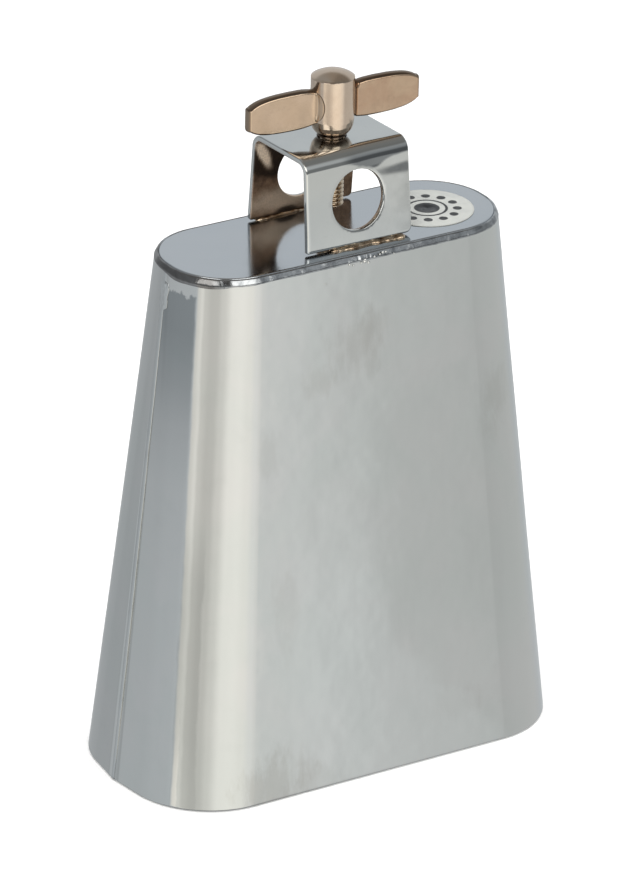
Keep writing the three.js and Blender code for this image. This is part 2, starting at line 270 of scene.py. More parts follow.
def chrome(name, base, tint, rough=(0.06, 0.14), cloud=0.035, wave=0.02, wave_scale=0.09, grime=0.25, micro=0.0015, kind=None):
    """Bright plating: cloudy colour and roughness, shallow waves in the sheet, fine pits and a little haze."""
    m, n, b, p = new_material(name)
    big = n.noise(p, cloud, 3.0, 0.6, 0.6)
    mid = n.noise(p, cloud * 5, 4.0, 0.6, 0.3)
    fine = n.noise(p, 2.2, 3.0, 0.6)
    colour = n.mix(n.span(big, 0.35, 0.68), base, tint)
    haze = n.math("MULTIPLY", n.span(mid, 0.52, 0.80), grime)
    colour = n.mix(haze, colour, tuple(c * 0.80 for c in base))
    r = n.math("ADD", n.span(mid, 0.3, 0.75, rough[0], rough[1]), n.math("MULTIPLY", fine, 0.02))
    b.inputs["Metallic"].default_value = 1.0
    normal = None
    x, y, z = n.sep(p)
    if kind == "shell":
        g = n.n("ShaderNodeNewGeometry")
        nx, ny, nz = n.sep(g.outputs["Normal"])
        bow = n.math("MULTIPLY", x, n.span(z, 0.0, 126.0, 0.0007, 0.0011, "LINEAR"))
        normal = n.vmath("NORMALIZE", n.vmath("ADD", g.outputs["Normal"], n.comb(bow, 0.0, 0.0)))
        rag = n.noise(n.vmath("MULTIPLY", p, (1.0, 1.0, 0.35)), 0.30, 4.0, 0.65)
        ragged = n.math("SUBTRACT", rag, 0.5)
        # painted dark reflection: the narrow end of each side is darkened towards the closed end, with a ragged top
        ang = n.math("MULTIPLY", n.math("ARCTAN2", ny, nx), 180 / math.pi)
        turn_ = n.math("ABSOLUTE", ang)
        flank = n.span(n.math("ADD", turn_, n.math("MULTIPLY", ragged, 3.0)), 145.2, 148.2)
        rise = n.ramp(n.math("DIVIDE", z, 126.0), [(0.0, (0, 0, 0)), (0.40, (0.06,) * 3), (0.60, (0.16,) * 3), (0.72, (0.42,) * 3), (0.80, (0.75,) * 3), (0.90, (1, 1, 1))], "LINEAR")
        tear = n.math("SUBTRACT", n.noise(p, 0.42, 3.0, 0.55), 0.5)
        crown_ = n.span(n.math("ADD", z, n.math("MULTIPLY", tear, 4.5)), 122.3, 121.5)
        front_side = n.span(y, 1.2, -0.3)
        painted_dark_reflection = n.math("MULTIPLY", n.math("MULTIPLY", flank, rise), n.math("MULTIPLY", crown_, front_side))
        colour = n.mix(n.math("MULTIPLY", painted_dark_reflection, 0.62), colour, (base[0] * 0.235, base[1] * 0.27, base[2] * 0.30))
        # a painted highlight: a brighter run on the corner near the mouth
        painted_highlight_run = n.math("MULTIPLY", n.span(n.math("ABSOLUTE", n.math("SUBTRACT", n.math("ADD", turn_, n.math("MULTIPLY", ragged, 4.0)), 144.2)), 2.6, 1.0), n.span(z, 36.0, 8.0))
        colour = n.mix(n.math("MULTIPLY", painted_highlight_run, 0.85), colour, (0.93, 0.93, 0.90))
        # painted shade: darkens the dip between the two reflected highlights, mostly at mid height
        painted_dip_shade = n.math("MULTIPLY", n.span(n.math("ABSOLUTE", n.math("SUBTRACT", n.math("ADD", turn_, n.math("MULTIPLY", ragged, 5.0)), 138.5)), 9.5, 7.0), n.math("MULTIPLY", n.span(z, 2.0, 20.0, 0.6, 1.0), n.span(z, 74.0, 52.0)))
        colour = n.mix(n.math("MULTIPLY", painted_dip_shade, 0.55), colour, tuple(c * 0.72 for c in base))
        # faint brown stains
        for cx, cz, rx, rz, k in ((-4.0, 106.0, 7.0, 8.0, 0.16), (2.5, 109.0, 5.0, 4.5, 0.10), (-14.0, 99.0, 5.0, 4.0, 0.12), (34.5, 86.0, 4.5, 7.0, 0.16), (33.0, 78.0, 3.0, 4.0, 0.10),
                                  (-24.0, 46.0, 4.0, 10.0, 0.10), (21.0, 12.0, 8.0, 4.0, 0.10), (-28.0, 4.0, 10.0, 8.0, 0.26), (-17.0, 2.0, 9.0, 4.0, 0.14), (-27.0, 84.0, 3.0, 7.0, 0.10)):
            dx = n.math("DIVIDE", n.math("SUBTRACT", x, cx), rx)
            dz = n.math("DIVIDE", n.math("SUBTRACT", z, cz), rz)
            d = n.math("SQRT", n.math("ADD", n.math("MULTIPLY", dx, dx), n.math("MULTIPLY", dz, dz)))
            patch = n.math("MULTIPLY", n.span(n.math("ADD", d, n.math("MULTIPLY", ragged, 2.6)), 1.35, 0.25), k)
            patch = n.math("MULTIPLY", patch, n.span(y, 2.0, -2.0))
            colour = n.mix(patch, colour, (0.30, 0.27, 0.22))
        # a lighter area low on the left of the front, strongest near the bottom
        reach = n.ramp(n.math("DIVIDE", z, 126.0), [(0.0, (1.0,) * 3), (0.10, (0.86,) * 3), (0.16, (0.68,) * 3), (0.27, (0.50,) * 3), (0.45, (0.44,) * 3), (0.75, (0.42,) * 3), (1.0, (0.40,) * 3)], "EASE")
        edge_x = n.math("SUBTRACT", n.math("MULTIPLY", reach, 60.0), 26.0)
        off = n.math("SUBTRACT", x, n.math("ADD", edge_x, n.math("MULTIPLY", ragged, 3.0)))
        lighter_low_left = n.math("MULTIPLY", n.math("MULTIPLY", n.span(off, 3.4, -3.4), n.span(z, 78.0, 30.0)), n.math("MULTIPLY", n.span(y, 2.0, -2.0), n.span(x, -34.0, -6.0)))
        colour = n.mix(n.math("MULTIPLY", lighter_low_left, 0.42), colour, (0.735, 0.765, 0.765))
        # slightly darker to the right of that ragged edge, at mid height
        darker_right_of_edge = n.math("MULTIPLY", n.math("MULTIPLY", n.span(off, -3.0, 3.5), n.span(z, 20.0, 50.0)), n.math("MULTIPLY", n.span(z, 112.0, 80.0), n.span(y, 2.0, -2.0)))
        colour = n.mix(n.math("MULTIPLY", darker_right_of_edge, 0.20), colour, (0.56, 0.58, 0.565))
        streak = n.noise(n.vmath("MULTIPLY", p, (1.0, 1.0, 0.08)), 0.22, 3.0, 0.55)
        colour = n.mix(n.math("MULTIPLY", n.span(streak, 0.50, 0.72), 0.05), colour, tuple(c * 0.80 for c in base))
        r = n.math("ADD", r, n.math("MULTIPLY", n.span(rag, 0.52, 0.75), 0.05))
    waves = n.noise(p, wave_scale, 2.0, 0.5)
    if kind == "shell":
        ripple = n.noise(n.vmath("MULTIPLY", p, (1.0, 1.0, 0.45)), 0.16, 3.0, 0.55)
        waves = n.math("ADD", waves, n.math("MULTIPLY", ripple, 0.12))
    nrm = n.bump(waves, wave * 20, 0.35, normal)
    nrm = n.bump(n.math("ADD", fine, n.math("MULTIPLY", n.voronoi(p, 0.9), 0.5)), micro, 0.5, nrm)
    n.put(colour, b.inputs["Base Color"])
    n.put(r, b.inputs["Roughness"])
    n.put(nrm, b.inputs["Normal"])
    return m


SHELL_BASE, SHELL_TINT = (0.640, 0.665, 0.655), (0.665, 0.675, 0.670)
mat_shell = chrome("plated_sheet", SHELL_BASE, SHELL_TINT, (0.035, 0.075), wave=0.013, grime=0.10, kind="shell")
mat_plate = chrome("plated_plate", (0.590, 0.625, 0.660), (0.610, 0.640, 0.670), (0.10, 0.15), wave=0.004, wave_scale=0.05, grime=0.06)


def weld_material(name, base, dark, rough=(0.16, 0.38), scale=0.5, lumps=0.05):
    m, n, b, p = new_material(name)
    big = n.noise(p, scale, 4.0, 0.6, 0.5)
    cells = n.voronoi(p, scale * 1.6, "SMOOTH_F1")
    fine = n.noise(p, 4.5, 3.0, 0.65)
    c = n.mix(n.span(big, 0.38, 0.66), base, dark)
    # browner at the left end
    c = n.mix(n.math("MULTIPLY", n.span(n.sep(p)[0], -35.5, -38.5), 0.62), c, (0.15, 0.135, 0.125))
    n.put(c, b.inputs["Base Color"])
    n.put(n.span(big, 0.3, 0.75, rough[0], rough[1]), b.inputs["Roughness"])
    b.inputs["Metallic"].default_value = 1.0
    nrm = n.bump(n.math("ADD", big, cells), lumps * 10, 0.35)
    nrm = n.bump(fine, 0.006, 0.8, nrm)
    n.put(nrm, b.inputs["Normal"])
    return m


mat_weld = weld_material("ground_weld", (0.50, 0.52, 0.535), (0.27, 0.285, 0.30), (0.08, 0.20), 0.34, 0.020)
mat_seam = chrome("ground_seam", (0.600, 0.625, 0.630), (0.640, 0.660, 0.660), (0.06, 0.13), grime=0.35)
mat_lump = weld_material("weld_lump", (0.50, 0.53, 0.54), (0.24, 0.255, 0.26), (0.12, 0.30), 0.9, 0.03)
mat_spat = weld_material("bright_spatter", (0.88, 0.89, 0.88), (0.62, 0.63, 0.62), (0.10, 0.25), 1.2, 0.02)
mat_braze = weld_material("brassy_braze", (0.84, 0.67, 0.49), (0.22, 0.13, 0.07), (0.10, 0.28), 0.40, 0.022)


def bracket_material():
    """Plated strap; the inner faces are browned by the brazing heat, with painted highlights (pale beige patches) and
    painted shade with some dark marks (near black) over them; the outer face gets painted shade along the bend and the
    foot, and painted lighter reflection on the front ear.
    """
    m, n, b, p = new_material("plated_strap")
    inner = n.n("ShaderNodeAttribute", attribute_name="inner").outputs["Fac"]
    painted_highlight = n.n("ShaderNodeAttribute", attribute_name="painted_highlight").outputs["Fac"]
    dark_marks_and_painted_shade = n.n("ShaderNodeAttribute", attribute_name="dark_marks_and_painted_shade").outputs["Fac"]
    big = n.noise(p, 0.09, 3.0, 0.6, 0.5)
    mid = n.noise(p, 0.6, 4.0, 0.6)
    fine = n.noise(p, 3.6, 3.0, 0.7)
    grain = n.span(fine, 0.42, 0.62)
    outer = n.mix(n.span(big, 0.35, 0.68), (0.680, 0.700, 0.690), (0.650, 0.670, 0.668))
    outer = n.mix(n.math("MULTIPLY", n.span(mid, 0.55, 0.8), 0.2), outer, (0.56, 0.575, 0.565))
    px, py, pz = n.sep(p)
    # painted lighter reflection high on the front ear's outer face
    outer = n.mix(n.math("MULTIPLY", n.span(pz, TOP + 9.0, TOP + 17.0), n.span(py, -6.0, -9.0)), outer, (0.745, 0.755, 0.730))
    # painted lighter reflection on the right half of the front ear's outer face
    outer = n.mix(n.math("MULTIPLY", n.math("MULTIPLY", n.span(px, 3.0, 13.0), n.span(pz, TOP + 3.0, TOP + 9.0)), n.math("MULTIPLY", n.span(py, -6.0, -9.0), 0.7)), outer, (0.80, 0.81, 0.785))
    # painted shade on the outer face: along the bend's lower edge and at the foot
    outer = n.mix(n.math("MULTIPLY", dark_marks_and_painted_shade, 0.88), outer, (0.25, 0.265, 0.275))
    brown = n.mix(n.span(mid, 0.3, 0.72), (0.36, 0.232, 0.148), (0.19, 0.115, 0.068))
    brown = n.mix(n.math("MULTIPLY", grain, 0.40), brown, (0.13, 0.085, 0.06))
    # painted highlight: pale beige patches on the inner faces
    brown = n.mix(n.math("MULTIPLY", painted_highlight, n.math("SUBTRACT", 1.0, n.math("MULTIPLY", grain, 0.35))), brown, (1.0, 0.84, 0.66))
    # painted shade, with some dark marks: near black on the inner faces
    brown = n.mix(n.math("MULTIPLY", dark_marks_and_painted_shade, n.math("SUBTRACT", 1.0, n.math("MULTIPLY", grain, 0.15))), brown, (0.020, 0.011, 0.006))
    n.put(n.mix(inner, outer, brown), b.inputs["Base Color"])
    r_out = n.span(mid, 0.3, 0.75, 0.05, 0.11)
    r_in = n.math("ADD", n.span(fine, 0.3, 0.7, 0.26, 0.42), n.math("MULTIPLY", dark_marks_and_painted_shade, 0.2))
    m_r = n.n("ShaderNodeMix", data_type="FLOAT")
    n.put(inner, m_r.inputs[0]); n.put(r_out, m_r.inputs[2]); n.put(r_in, m_r.inputs[3])
    n.put(m_r.outputs[0], b.inputs["Roughness"])
    dull = n.math("MULTIPLY", inner, n.math("ADD", 0.35, n.math("MULTIPLY", painted_highlight, 0.45)))
    n.put(n.math("SUBTRACT", 1.0, dull), b.inputs["Metallic"])
    nrm = n.bump(n.noise(p, 0.12, 2.0, 0.5), 0.10, 0.30)
    nrm = n.bump(fine, 0.004, 0.6, nrm)
    n.put(nrm, b.inputs["Normal"])
    return m


mat_bracket = bracket_material()


def bolt_material(name, base, tint, dark, rough=(0.16, 0.30), grime=0.35, hub=False):
    m, n, b, p = new_material(name)
    big = n.noise(p, 0.16, 3.0, 0.6, 0.4)
    mid = n.noise(p, 0.9, 4.0, 0.6)
    fine = n.noise(p, 5.0, 4.0, 0.7)
    c = n.mix(n.span(big, 0.35, 0.68), base, tint)
    c = n.mix(n.math("MULTIPLY", n.span(mid, 0.55, 0.82), grime), c, dark)
    pits = n.voronoi(p, 1.6)
    c = n.mix(n.math("MULTIPLY", n.span(pits, 0.07, 0.02), 0.25), c, dark)
    # dark seam line at the left wing's root, painted shade in the right wing's root recess and painted dark reflection
    # on the wing edges
    seam_and_painted_shade = n.n("ShaderNodeAttribute", attribute_name="seam_and_painted_shade").outputs["Fac"]
    c = n.mix(n.math("MULTIPLY", n.span(seam_and_painted_shade, 0.15, 0.8), 0.85), c, (0.06, 0.035, 0.022))
    if hub:
        # painted shade: darker where it tucks in towards the strap
        hz = n.sep(p)[2]
        z0 = float(hub_lo[2])
        c = n.mix(n.span(hz, z0 + 1.7, z0 + 0.5, 0.0, 0.86), c, (0.07, 0.038, 0.022))
    n.put(c, b.inputs["Base Color"])
    n.put(n.math("ADD", n.span(mid, 0.3, 0.75, rough[0], rough[1]), n.math("MULTIPLY", fine, 0.05)), b.inputs["Roughness"])
    b.inputs["Metallic"].default_value = 1.0
    nrm = n.bump(n.math("ADD", n.noise(p, 0.25, 3.0, 0.5), n.math("MULTIPLY", mid, 0.12)), 0.10, 0.35)
    nrm = n.bump(n.math("ADD", fine, n.math("MULTIPLY", n.span(pits, 0.14, 0.0), -0.8)), 0.004, 0.5, nrm)
    n.put(nrm, b.inputs["Normal"])
    return m


mat_bolt = bolt_material("nickel_brass", (0.690, 0.555, 0.440), (0.730, 0.600, 0.480), (0.44, 0.33, 0.24), (0.12, 0.19), 0.26, hub=True)
mat_wing = bolt_material("nickel_brass_wing", (0.560, 0.425, 0.305), (0.590, 0.450, 0.330), (0.36, 0.26, 0.18), (0.10, 0.18), 0.22)
# the right wing's copy of the brass is darker
mat_wing_r = bolt_material("nickel_brass_wing_darker", (0.480, 0.335, 0.235), (0.525, 0.390, 0.275), (0.32, 0.215, 0.15), (0.12, 0.20), 0.25)
mat_stud = bolt_material("plated_thread", (0.66, 0.55, 0.42), (0.72, 0.60, 0.46), (0.22, 0.15, 0.09), (0.14, 0.28), 0.5)
mat_nut = bolt_material("dull_steel", (0.45, 0.42, 0.37), (0.38, 0.34, 0.29), (0.15, 0.12, 0.09), (0.28, 0.46), 0.6)


def label_material(cx, cy, r):
    """Off-white film with a plain ring motif: two thin rings, a ring of dots and a centre disc."""
    m, n, b, p = new_material("printed_film")
    x, y, z = n.sep(p)
    dx = n.math("SUBTRACT", x, cx)
    dy = n.math("SUBTRACT", y, cy)
    d = n.math("SQRT", n.math("ADD", n.math("MULTIPLY", dx, dx), n.math("MULTIPLY", dy, dy)))

    def ring(a, w, soft=0.06):
        k = n.math("ABSOLUTE", n.math("SUBTRACT", d, a))
        return n.span(k, w + soft, w - soft)

    ang = n.math("ARCTAN2", dy, dx)
    f = n.math("FRACT", n.math("ADD", n.math("MULTIPLY", ang, 12 / (2 * math.pi)), 0.5))
    u = n.math("MULTIPLY", n.math("SUBTRACT", f, 0.5), 2 * math.pi * 7.0 / 12)
    v = n.math("SUBTRACT", d, 7.0)
    dot = n.math("SQRT", n.math("ADD", n.math("MULTIPLY", u, u), n.math("MULTIPLY", v, v)))
    dots = n.span(dot, 1.12, 0.98)
    centre = n.span(d, 3.05, 2.9)
    ink = n.math("MAXIMUM", n.math("MAXIMUM", ring(4.55, 0.32), dots), centre)
    ink = n.math("MULTIPLY", ink, n.span(n.noise(p, 1.4, 4.0, 0.6), 0.28, 0.40, 0.82, 1.0))
    paper = n.mix(n.span(n.noise(p, 0.25, 3.0, 0.6), 0.35, 0.7), (0.455, 0.465, 0.44), (0.405, 0.415, 0.40))
    edge = n.math("MULTIPLY", n.span(d, r - 0.55, r - 0.05), 0.30)
    paper = n.mix(edge, paper, (0.22, 0.23, 0.22))
    n.put(n.mix(ink, paper, (0.020, 0.021, 0.023)), b.inputs["Base Color"])
    n.put(n.span(n.noise(p, 0.8, 3.0, 0.6), 0.3, 0.7, 0.32, 0.50), b.inputs["Roughness"])
    n.put(n.bump(n.noise(p, 0.5, 3.0, 0.6), 0.02, 0.6), b.inputs["Normal"])
    return m


# ------------------------------------------------------------------ the body's outline
def quarter(s, inset, start, arc=34, flank=4):
    cp, sp = math.cos(s["phi"]), math.sin(s["phi"])
    a, b, r = s["a"] - inset / cp, s["b"] - inset, s["r"] - inset
    cy = -b + r
    cx = (r - cy * sp) / cp - a
    p0 = np.array([-a + start * math.tan(s["phi"]), -start])
    t0 = math.pi + s["phi"]
    p1 = np.array([cx + r * math.cos(t0), cy + r * math.sin(t0)])
    pts = [p0 + (p1 - p0) * k / flank for k in range(flank)]
    for i in range(arc + 1):
        t = t0 + (0.5 * math.pi - s["phi"]) * i / arc
        pts.append(np.array([cx + r * math.cos(t), cy + r * math.sin(t)]))
    return pts


def front_half(s, inset, start, arc=34, flank=4, face=30):
    q = quarter(s, inset, start, arc, flank)
    a, b = q[-1], np.array([-q[-1][0], q[-1][1]])
    mid = [a + (b - a) * k / face for k in range(1, face)]
    right = [np.array([-p[0], p[1]]) for p in reversed(q)]
    return np.array(q + mid + right)


def full_outline(s, inset, arc=34, flank=3, face=60):
    f = front_half(s, inset, 0.0, arc, flank, face)
    r = f[1:-1][::-1].copy()
    r[:, 1] *= -1
    return np.vstack([f, r])


def outline_at(z, inset, start, side, **kw):
    """Points of one half of the body at height z, from the left seam to the right seam."""
    t = z / SHELL_TOP
    lo, hi = front_half(MOUTH, inset, start, **kw), front_half(CROWN, inset, start, **kw)
    p = lo + (hi - lo) * t
    if side > 0:
        p = p * np.array([1, -1])
    return p


def build_shells():
    for nm, side in (("front_shell", -1), ("rear_shell", 1)):
        levels = [SHELL_TOP * (1 - (k / 46)) for k in range(46)]
        levels = [SHELL_TOP, SHELL_TOP - 0.04, SHELL_TOP - 0.12] + [z for z in levels[1:] if z > 1.6] + [1.2, 0.85, SHEET / 2]
        arc = [math.pi * k / 10 for k in range(1, 10)]
        section = [(0.0, z) for z in levels]
        section += [(SHEET / 2 - SHEET / 2 * math.cos(t), SHEET / 2 - SHEET / 2 * math.sin(t)) for t in arc]
        section += [(SHEET, z) for z in reversed(levels)]
        rows = []
        for d, z in section:
            start = 0.30 - 0.22 * min(1.0, d / SHEET)
            p = outline_at(z, d, start, side)
            k = []
            for x, y in p:
                w = fbm(x * 0.03, y * 0.03, z * 0.026, 2.0 + side, 2)
                w = -0.06 * (1.0 + max(-1.0, min(1.0, w))) * smooth(0.0, 26.0, z) * smooth(0.0, 26.0, SHELL_TOP - z)
                nx, ny = x / MOUTH["a"] ** 2, y / MOUTH["b"] ** 2
                ln = math.hypot(nx, ny) or 1.0
                k.append((x + nx / ln * w, y + ny / ln * w, z))
            rows.append(k)
        cols, n = len(rows[0]), len(rows)
        verts = [v for r in rows for v in r]
        faces = grid_faces(n, cols, wrap_rows=True)
        for j in (0, cols - 1):
            i, k = 0, n - 1
            while i + 1 < k:
                a, b, c, d = i, i + 1, k - 1, k
                f = [a * cols + j, b * cols + j, c * cols + j, d * cols + j]
                f = list(dict.fromkeys(f))
                faces.append(tuple(f))
                i, k = i + 1, k - 1
        ob = make(nm + "_sheet", verts, faces, "bell", mat_shell, (nm,))
        tidy(ob)


build_shells()


# ------------------------------------------------------------------ end seams
def seam(side, node):
    """A ground seam: nearly flush, with a lump of weld left near its closed end."""
    rows = []
    zs = list(np.linspace(SHELL_TOP - 0.1, 0.35, 330))
    half = 10
    for z in zs:
        t = z / SHELL_TOP
        a = MOUTH["a"] + (CROWN["a"] - MOUTH["a"]) * t
        phi = math.atan(math.tan(MOUTH["phi"]) * (1 - t))
        lump = smooth(116.2, 117.6, z) * smooth(123.6, 122.6, z)
        w = 0.66 + 0.10 * fbm(0, 3.1, z * 0.10, 5 + side) + 0.05 * n3(0, 1.0, z * 0.5, 7 + side)
        w += lump * (0.95 + 0.25 * n3(0, 0, z * 0.9, 3 + side))
        crown = 0.013 + 0.008 * n3(2.0, 0, z * 0.18, 9 + side) + 0.02 * smooth(98, 112, z)
        crown += lump * (0.10 + 0.06 * n3(1, 1, z * 1.1, 4 + side))
        ring = []
        for k in range(-half, half + 1):
            q = k / half
            y = q * w
            c = crown * (1 - q * q) ** 1.5 - 0.008 * q ** 4
            c += lump * 0.09 * fbm(0.7, y * 1.5, z * 1.5, 11 + side, 2) * (1 - q ** 4)
            x = -(a - abs(y) * math.tan(phi)) - c
            ring.append((x, y + 0.35 * lump * side, z))
        ring.append((-(a - 1.25), 0.12, z))
        ring.append((-(a - 1.25), -0.12, z))
        if side > 0:
            ring = [(-x, y, z) for x, y, z in ring]
        rows.append(ring)
    cols = len(rows[0])
    verts = [v for r in rows for v in r]
    faces = grid_faces(len(rows), cols, wrap_cols=True)
    faces.append(tuple(range(cols)))
    faces.append(tuple((len(rows) - 1) * cols + j for j in range(cols))[::-1])
    tidy(make(node + "_bead", verts, faces, "bell", mat_seam, (node,), weighted=False))


seam(-1, "left_seam_weld")
seam(1, "right_seam_weld")


# ------------------------------------------------------------------ closing plate and its bead
def lerp_loop(loop, n):
    """Evenly spaced points round a closed loop, with the outward normal and the running length of each."""
    p = np.vstack([loop, loop[:1]])
    seg = np.linalg.norm(np.diff(p, axis=0), axis=1)
    s = np.concatenate([[0], np.cumsum(seg)])
    q = np.linspace(0, s[-1], n, endpoint=False)
    pts = np.stack([np.interp(q, s, p[:, 0]), np.interp(q, s, p[:, 1])], 1)
    d = np.roll(pts, -1, 0) - np.roll(pts, 1, 0)
    d /= np.linalg.norm(d, axis=1)[:, None]
    return pts, np.stack([d[:, 1], -d[:, 0]], 1), q, s[-1]


def build_plate():
    outer = full_outline(CROWN, RIM, face=40)
    base, nrm, _, _ = lerp_loop(outer, 260)
    rings = [(0.0, SHELL_TOP)]
    rings += [(0.0, TOP - 0.34)]
    for k in range(0, 7):
        t = 0.5 * math.pi * k / 6
        rings.append((0.32 - 0.32 * math.cos(t), TOP - 0.32 + 0.32 * math.sin(t)))
    rings += [(0.7, TOP), (1.6, TOP), (3.2, TOP)]
    verts = []
    for d, z in rings:
        for p, m in zip(base, nrm):
            q = p - m * d
            verts.append((q[0], q[1], z))
    faces = grid_faces(len(rings), len(base), wrap_cols=True)
    last = (len(rings) - 1) * len(base)
    faces.append(tuple(range(last, last + len(base))))
    faces.append(tuple(range(len(base)))[::-1])
    tidy(make("top_plate_sheet", verts, faces, "bell", mat_plate, ("top_plate",)))


build_plate()


def build_rim():
    """The closing bead, ground and plated over: smooth and rounded, uneven along its lower edge."""
    outer = full_outline(CROWN, 0.0, face=60)
    base, nrm, run, total = lerp_loop(outer, 1100)
    prof = [
        (1.30, -1.20), (1.16, -0.46), (1.06, -0.27), (0.93, -0.15), (0.80, -0.10), (0.66, -0.11), (0.54, -0.18), (0.45, -0.31), (0.36, -0.48),
        (0.27, -0.66), (0.17, -0.85), (0.07, -1.04), (-0.02, -1.22), (-0.065, -1.38), (-0.06, -1.50), (-0.03, -1.60), (0.06, -1.68), (0.6, -1.70),
    ]
    rows = []
    for p, m, s in zip(base, nrm, run):
        u, v = math.cos(2 * math.pi * s / total) * 34, math.sin(2 * math.pi * s / total) * 34
        low = 0.16 * fbm(u * 0.16, v * 0.16, 0.0, 21) + 0.05 * fbm(u * 0.6, v * 0.6, 0.3, 22, 2)
        left = smooth(-33.0, -39.0, p[0]) * smooth(2.0, -4.0, p[1])
        low -= 0.75 * left
        fat = 0.05 * fbm(u * 0.16, v * 0.16, 1.0, 23, 2) + 0.02 * n3(u * 0.5, v * 0.5, 0.0, 24)
        lump = math.exp(-((p[0] + 0.5) / 2.6) ** 2) * smooth(0.0, -8.0, p[1])
        fat += 0.12 * lump * (0.6 + n3(u * 1.2, v * 1.2, 4.0, 27))
        tuck = 0.10 * fbm(u * 0.2, v * 0.2, 5.0, 25, 2)
        ring = []
        for k, (d, z) in enumerate(prof):
            f = k / (len(prof) - 1)
            body = math.sin(math.pi * min(1, max(0, (f - 0.12) / 0.8)))
            dd = d - fat * body
            zz = TOP + z + 0.4 * tuck * body * (1 if k < 9 else 0) + low * smooth(0.5, 0.95, f)
            dd -= 0.06 * left * smooth(0.4, 0.7, f)
            q = p - m * dd
            ring.append((q[0], q[1], zz))
        rows.append(ring)
    cols = len(prof)
    verts = [v for r in rows for v in r]
    faces = grid_faces(len(rows), cols, wrap_rows=True, wrap_cols=True)
    tidy(make("top_rim_bead", verts, faces, "bell", mat_weld, ("top_rim_weld",), weighted=False))


build_rim()


# weld spatter: small beads stuck to the front near the top
def build_spatter():
    verts, faces = [], []
    spots = [(-10.8, 121.9, 0.26), (-9.6, 122.9, 0.20), (-0.3, 125.4, 0.55), (0.6, 124.8, 0.34), (-1.3, 125.1, 0.30),
             (3.6, 126.2, 0.30), (4.4, 126.5, 0.36), (5.2, 126.5, 0.30), (2.2, 125.9, 0.26), (-3.4, 124.9, 0.26), (-4.4, 125.3, 0.3), (7.4, 125.6, 0.22)]
    for i, (x, z, r) in enumerate(spots):
        t = z / SHELL_TOP
        y = -(MOUTH["b"] + (CROWN["b"] - MOUTH["b"]) * min(t, 1.0)) - 0.02
        if z > SHELL_TOP - 0.8:
            y -= 0.12
        base = len(verts)
        rings, seg = 7, 14
        for a in range(rings + 1):
            th = math.pi * a / rings
            for b in range(seg):
                ph = 2 * math.pi * b / seg
                rr = r * (1 + 0.18 * n3(math.cos(ph) * 1.5, th, i * 3.1, 31))
                verts.append((x + rr * math.sin(th) * math.cos(ph), y - 0.42 * rr * math.cos(th), z + rr * math.sin(th) * math.sin(ph)))
        faces += grid_faces(rings + 1, seg, wrap_cols=True, base=base)
    ob = make("weld_spatter", verts, faces, "bell", mat_spat, (), weighted=False)
    tidy(ob)


build_spatter()

# ------------------------------------------------------------------ rod bracket
B = dict(w=28.3, depth=25.0, h=float(brk_hi[2]) - TOP, splay=0.083, ro=3.4, x=1.2, y=1.5, yaw=0.05, t=1.4, gap=0.5)
HOLE = dict(r=7.03, x=-0.13, z=10.75)
place = Matrix.Translation((B["x"], B["y"], TOP)) @ Matrix.Rotation(B["yaw"], 4, "Z")
sp, cs = math.sin(B["splay"]), math.cos(B["splay"])
zc = B["h"] - B["ro"]
yc = (B["ro"] + zc * sp) / cs - B["depth"] / 2
foot = np.array([-B["depth"] / 2 + B["gap"] * math.tan(B["splay"]), B["gap"]])
arc0 = np.array([yc - B["ro"] * cs, zc + B["ro"] * sp])
L1 = float(np.linalg.norm(arc0 - foot))
RM = B["ro"] - B["t"] / 2
LB = RM * (math.pi / 2 - B["splay"])
LT = -2 * yc
LEN = 2 * L1 + 2 * LB + LT


def ear_shift(x, t):
    """The front ear's foot stands a little forward and to the left of square, more so at its right end; t is 1 at the foot."""
    f = (x + B["w"] / 2) / B["w"]
    k = t * smooth(0.0, 0.25, t)
    return -(0.30 + 0.45 * f) * k, -(0.10 + 1.45 * f) * k


def strap_point(x, s, t):
    """x across the strap, s along it from the front ear's foot, t the depth below the outer face."""
    flip = s > LEN / 2
    if flip:
        s = LEN - s
    if s <= L1:
        p = foot + np.array([sp, cs]) * s
        n = np.array([-cs, sp])
        y, z = p - n * t
    elif s <= L1 + LB:
        a = math.pi - B["splay"] - (s - L1) / RM
        y, z = yc + (B["ro"] - t) * math.cos(a), zc + (B["ro"] - t) * math.sin(a)
    else:
        y, z = yc + (s - L1 - LB), B["h"] - t
    wob = 0.022 * fbm(x * 0.10, s * 0.12, 0.0, 41, 2)
    if not flip:
        # the bend runs lower above the hole, where the strap is weakest
        start = L1 - 0.1 - 0.45 * smooth(-2.0, 8.0, x) - 1.75 * math.exp(-((x - 4.5) / 3.4) ** 2) + 0.4 * smooth(-9.0, -13.0, x)
        if s > start:
            rise = min(s, L1 + 0.2) - start
            y += 0.04 * rise * smooth(0.0, 0.8, rise) * smooth(L1 + LB * 1.0, L1 + 0.2, s)
        if s < L1:
            dx, dy = ear_shift(x, 1.0 - s / L1)
            x, y = x + dx, y + dy
    if flip:
        y = -y
    y += (-wob if not flip else wob) * 0.8 * (1.0 if s < L1 + LB * 0.5 else 0.0)
    z += wob * 0.3
    v = place @ Vector((x, y, z))
    return (v.x, v.y, v.z)


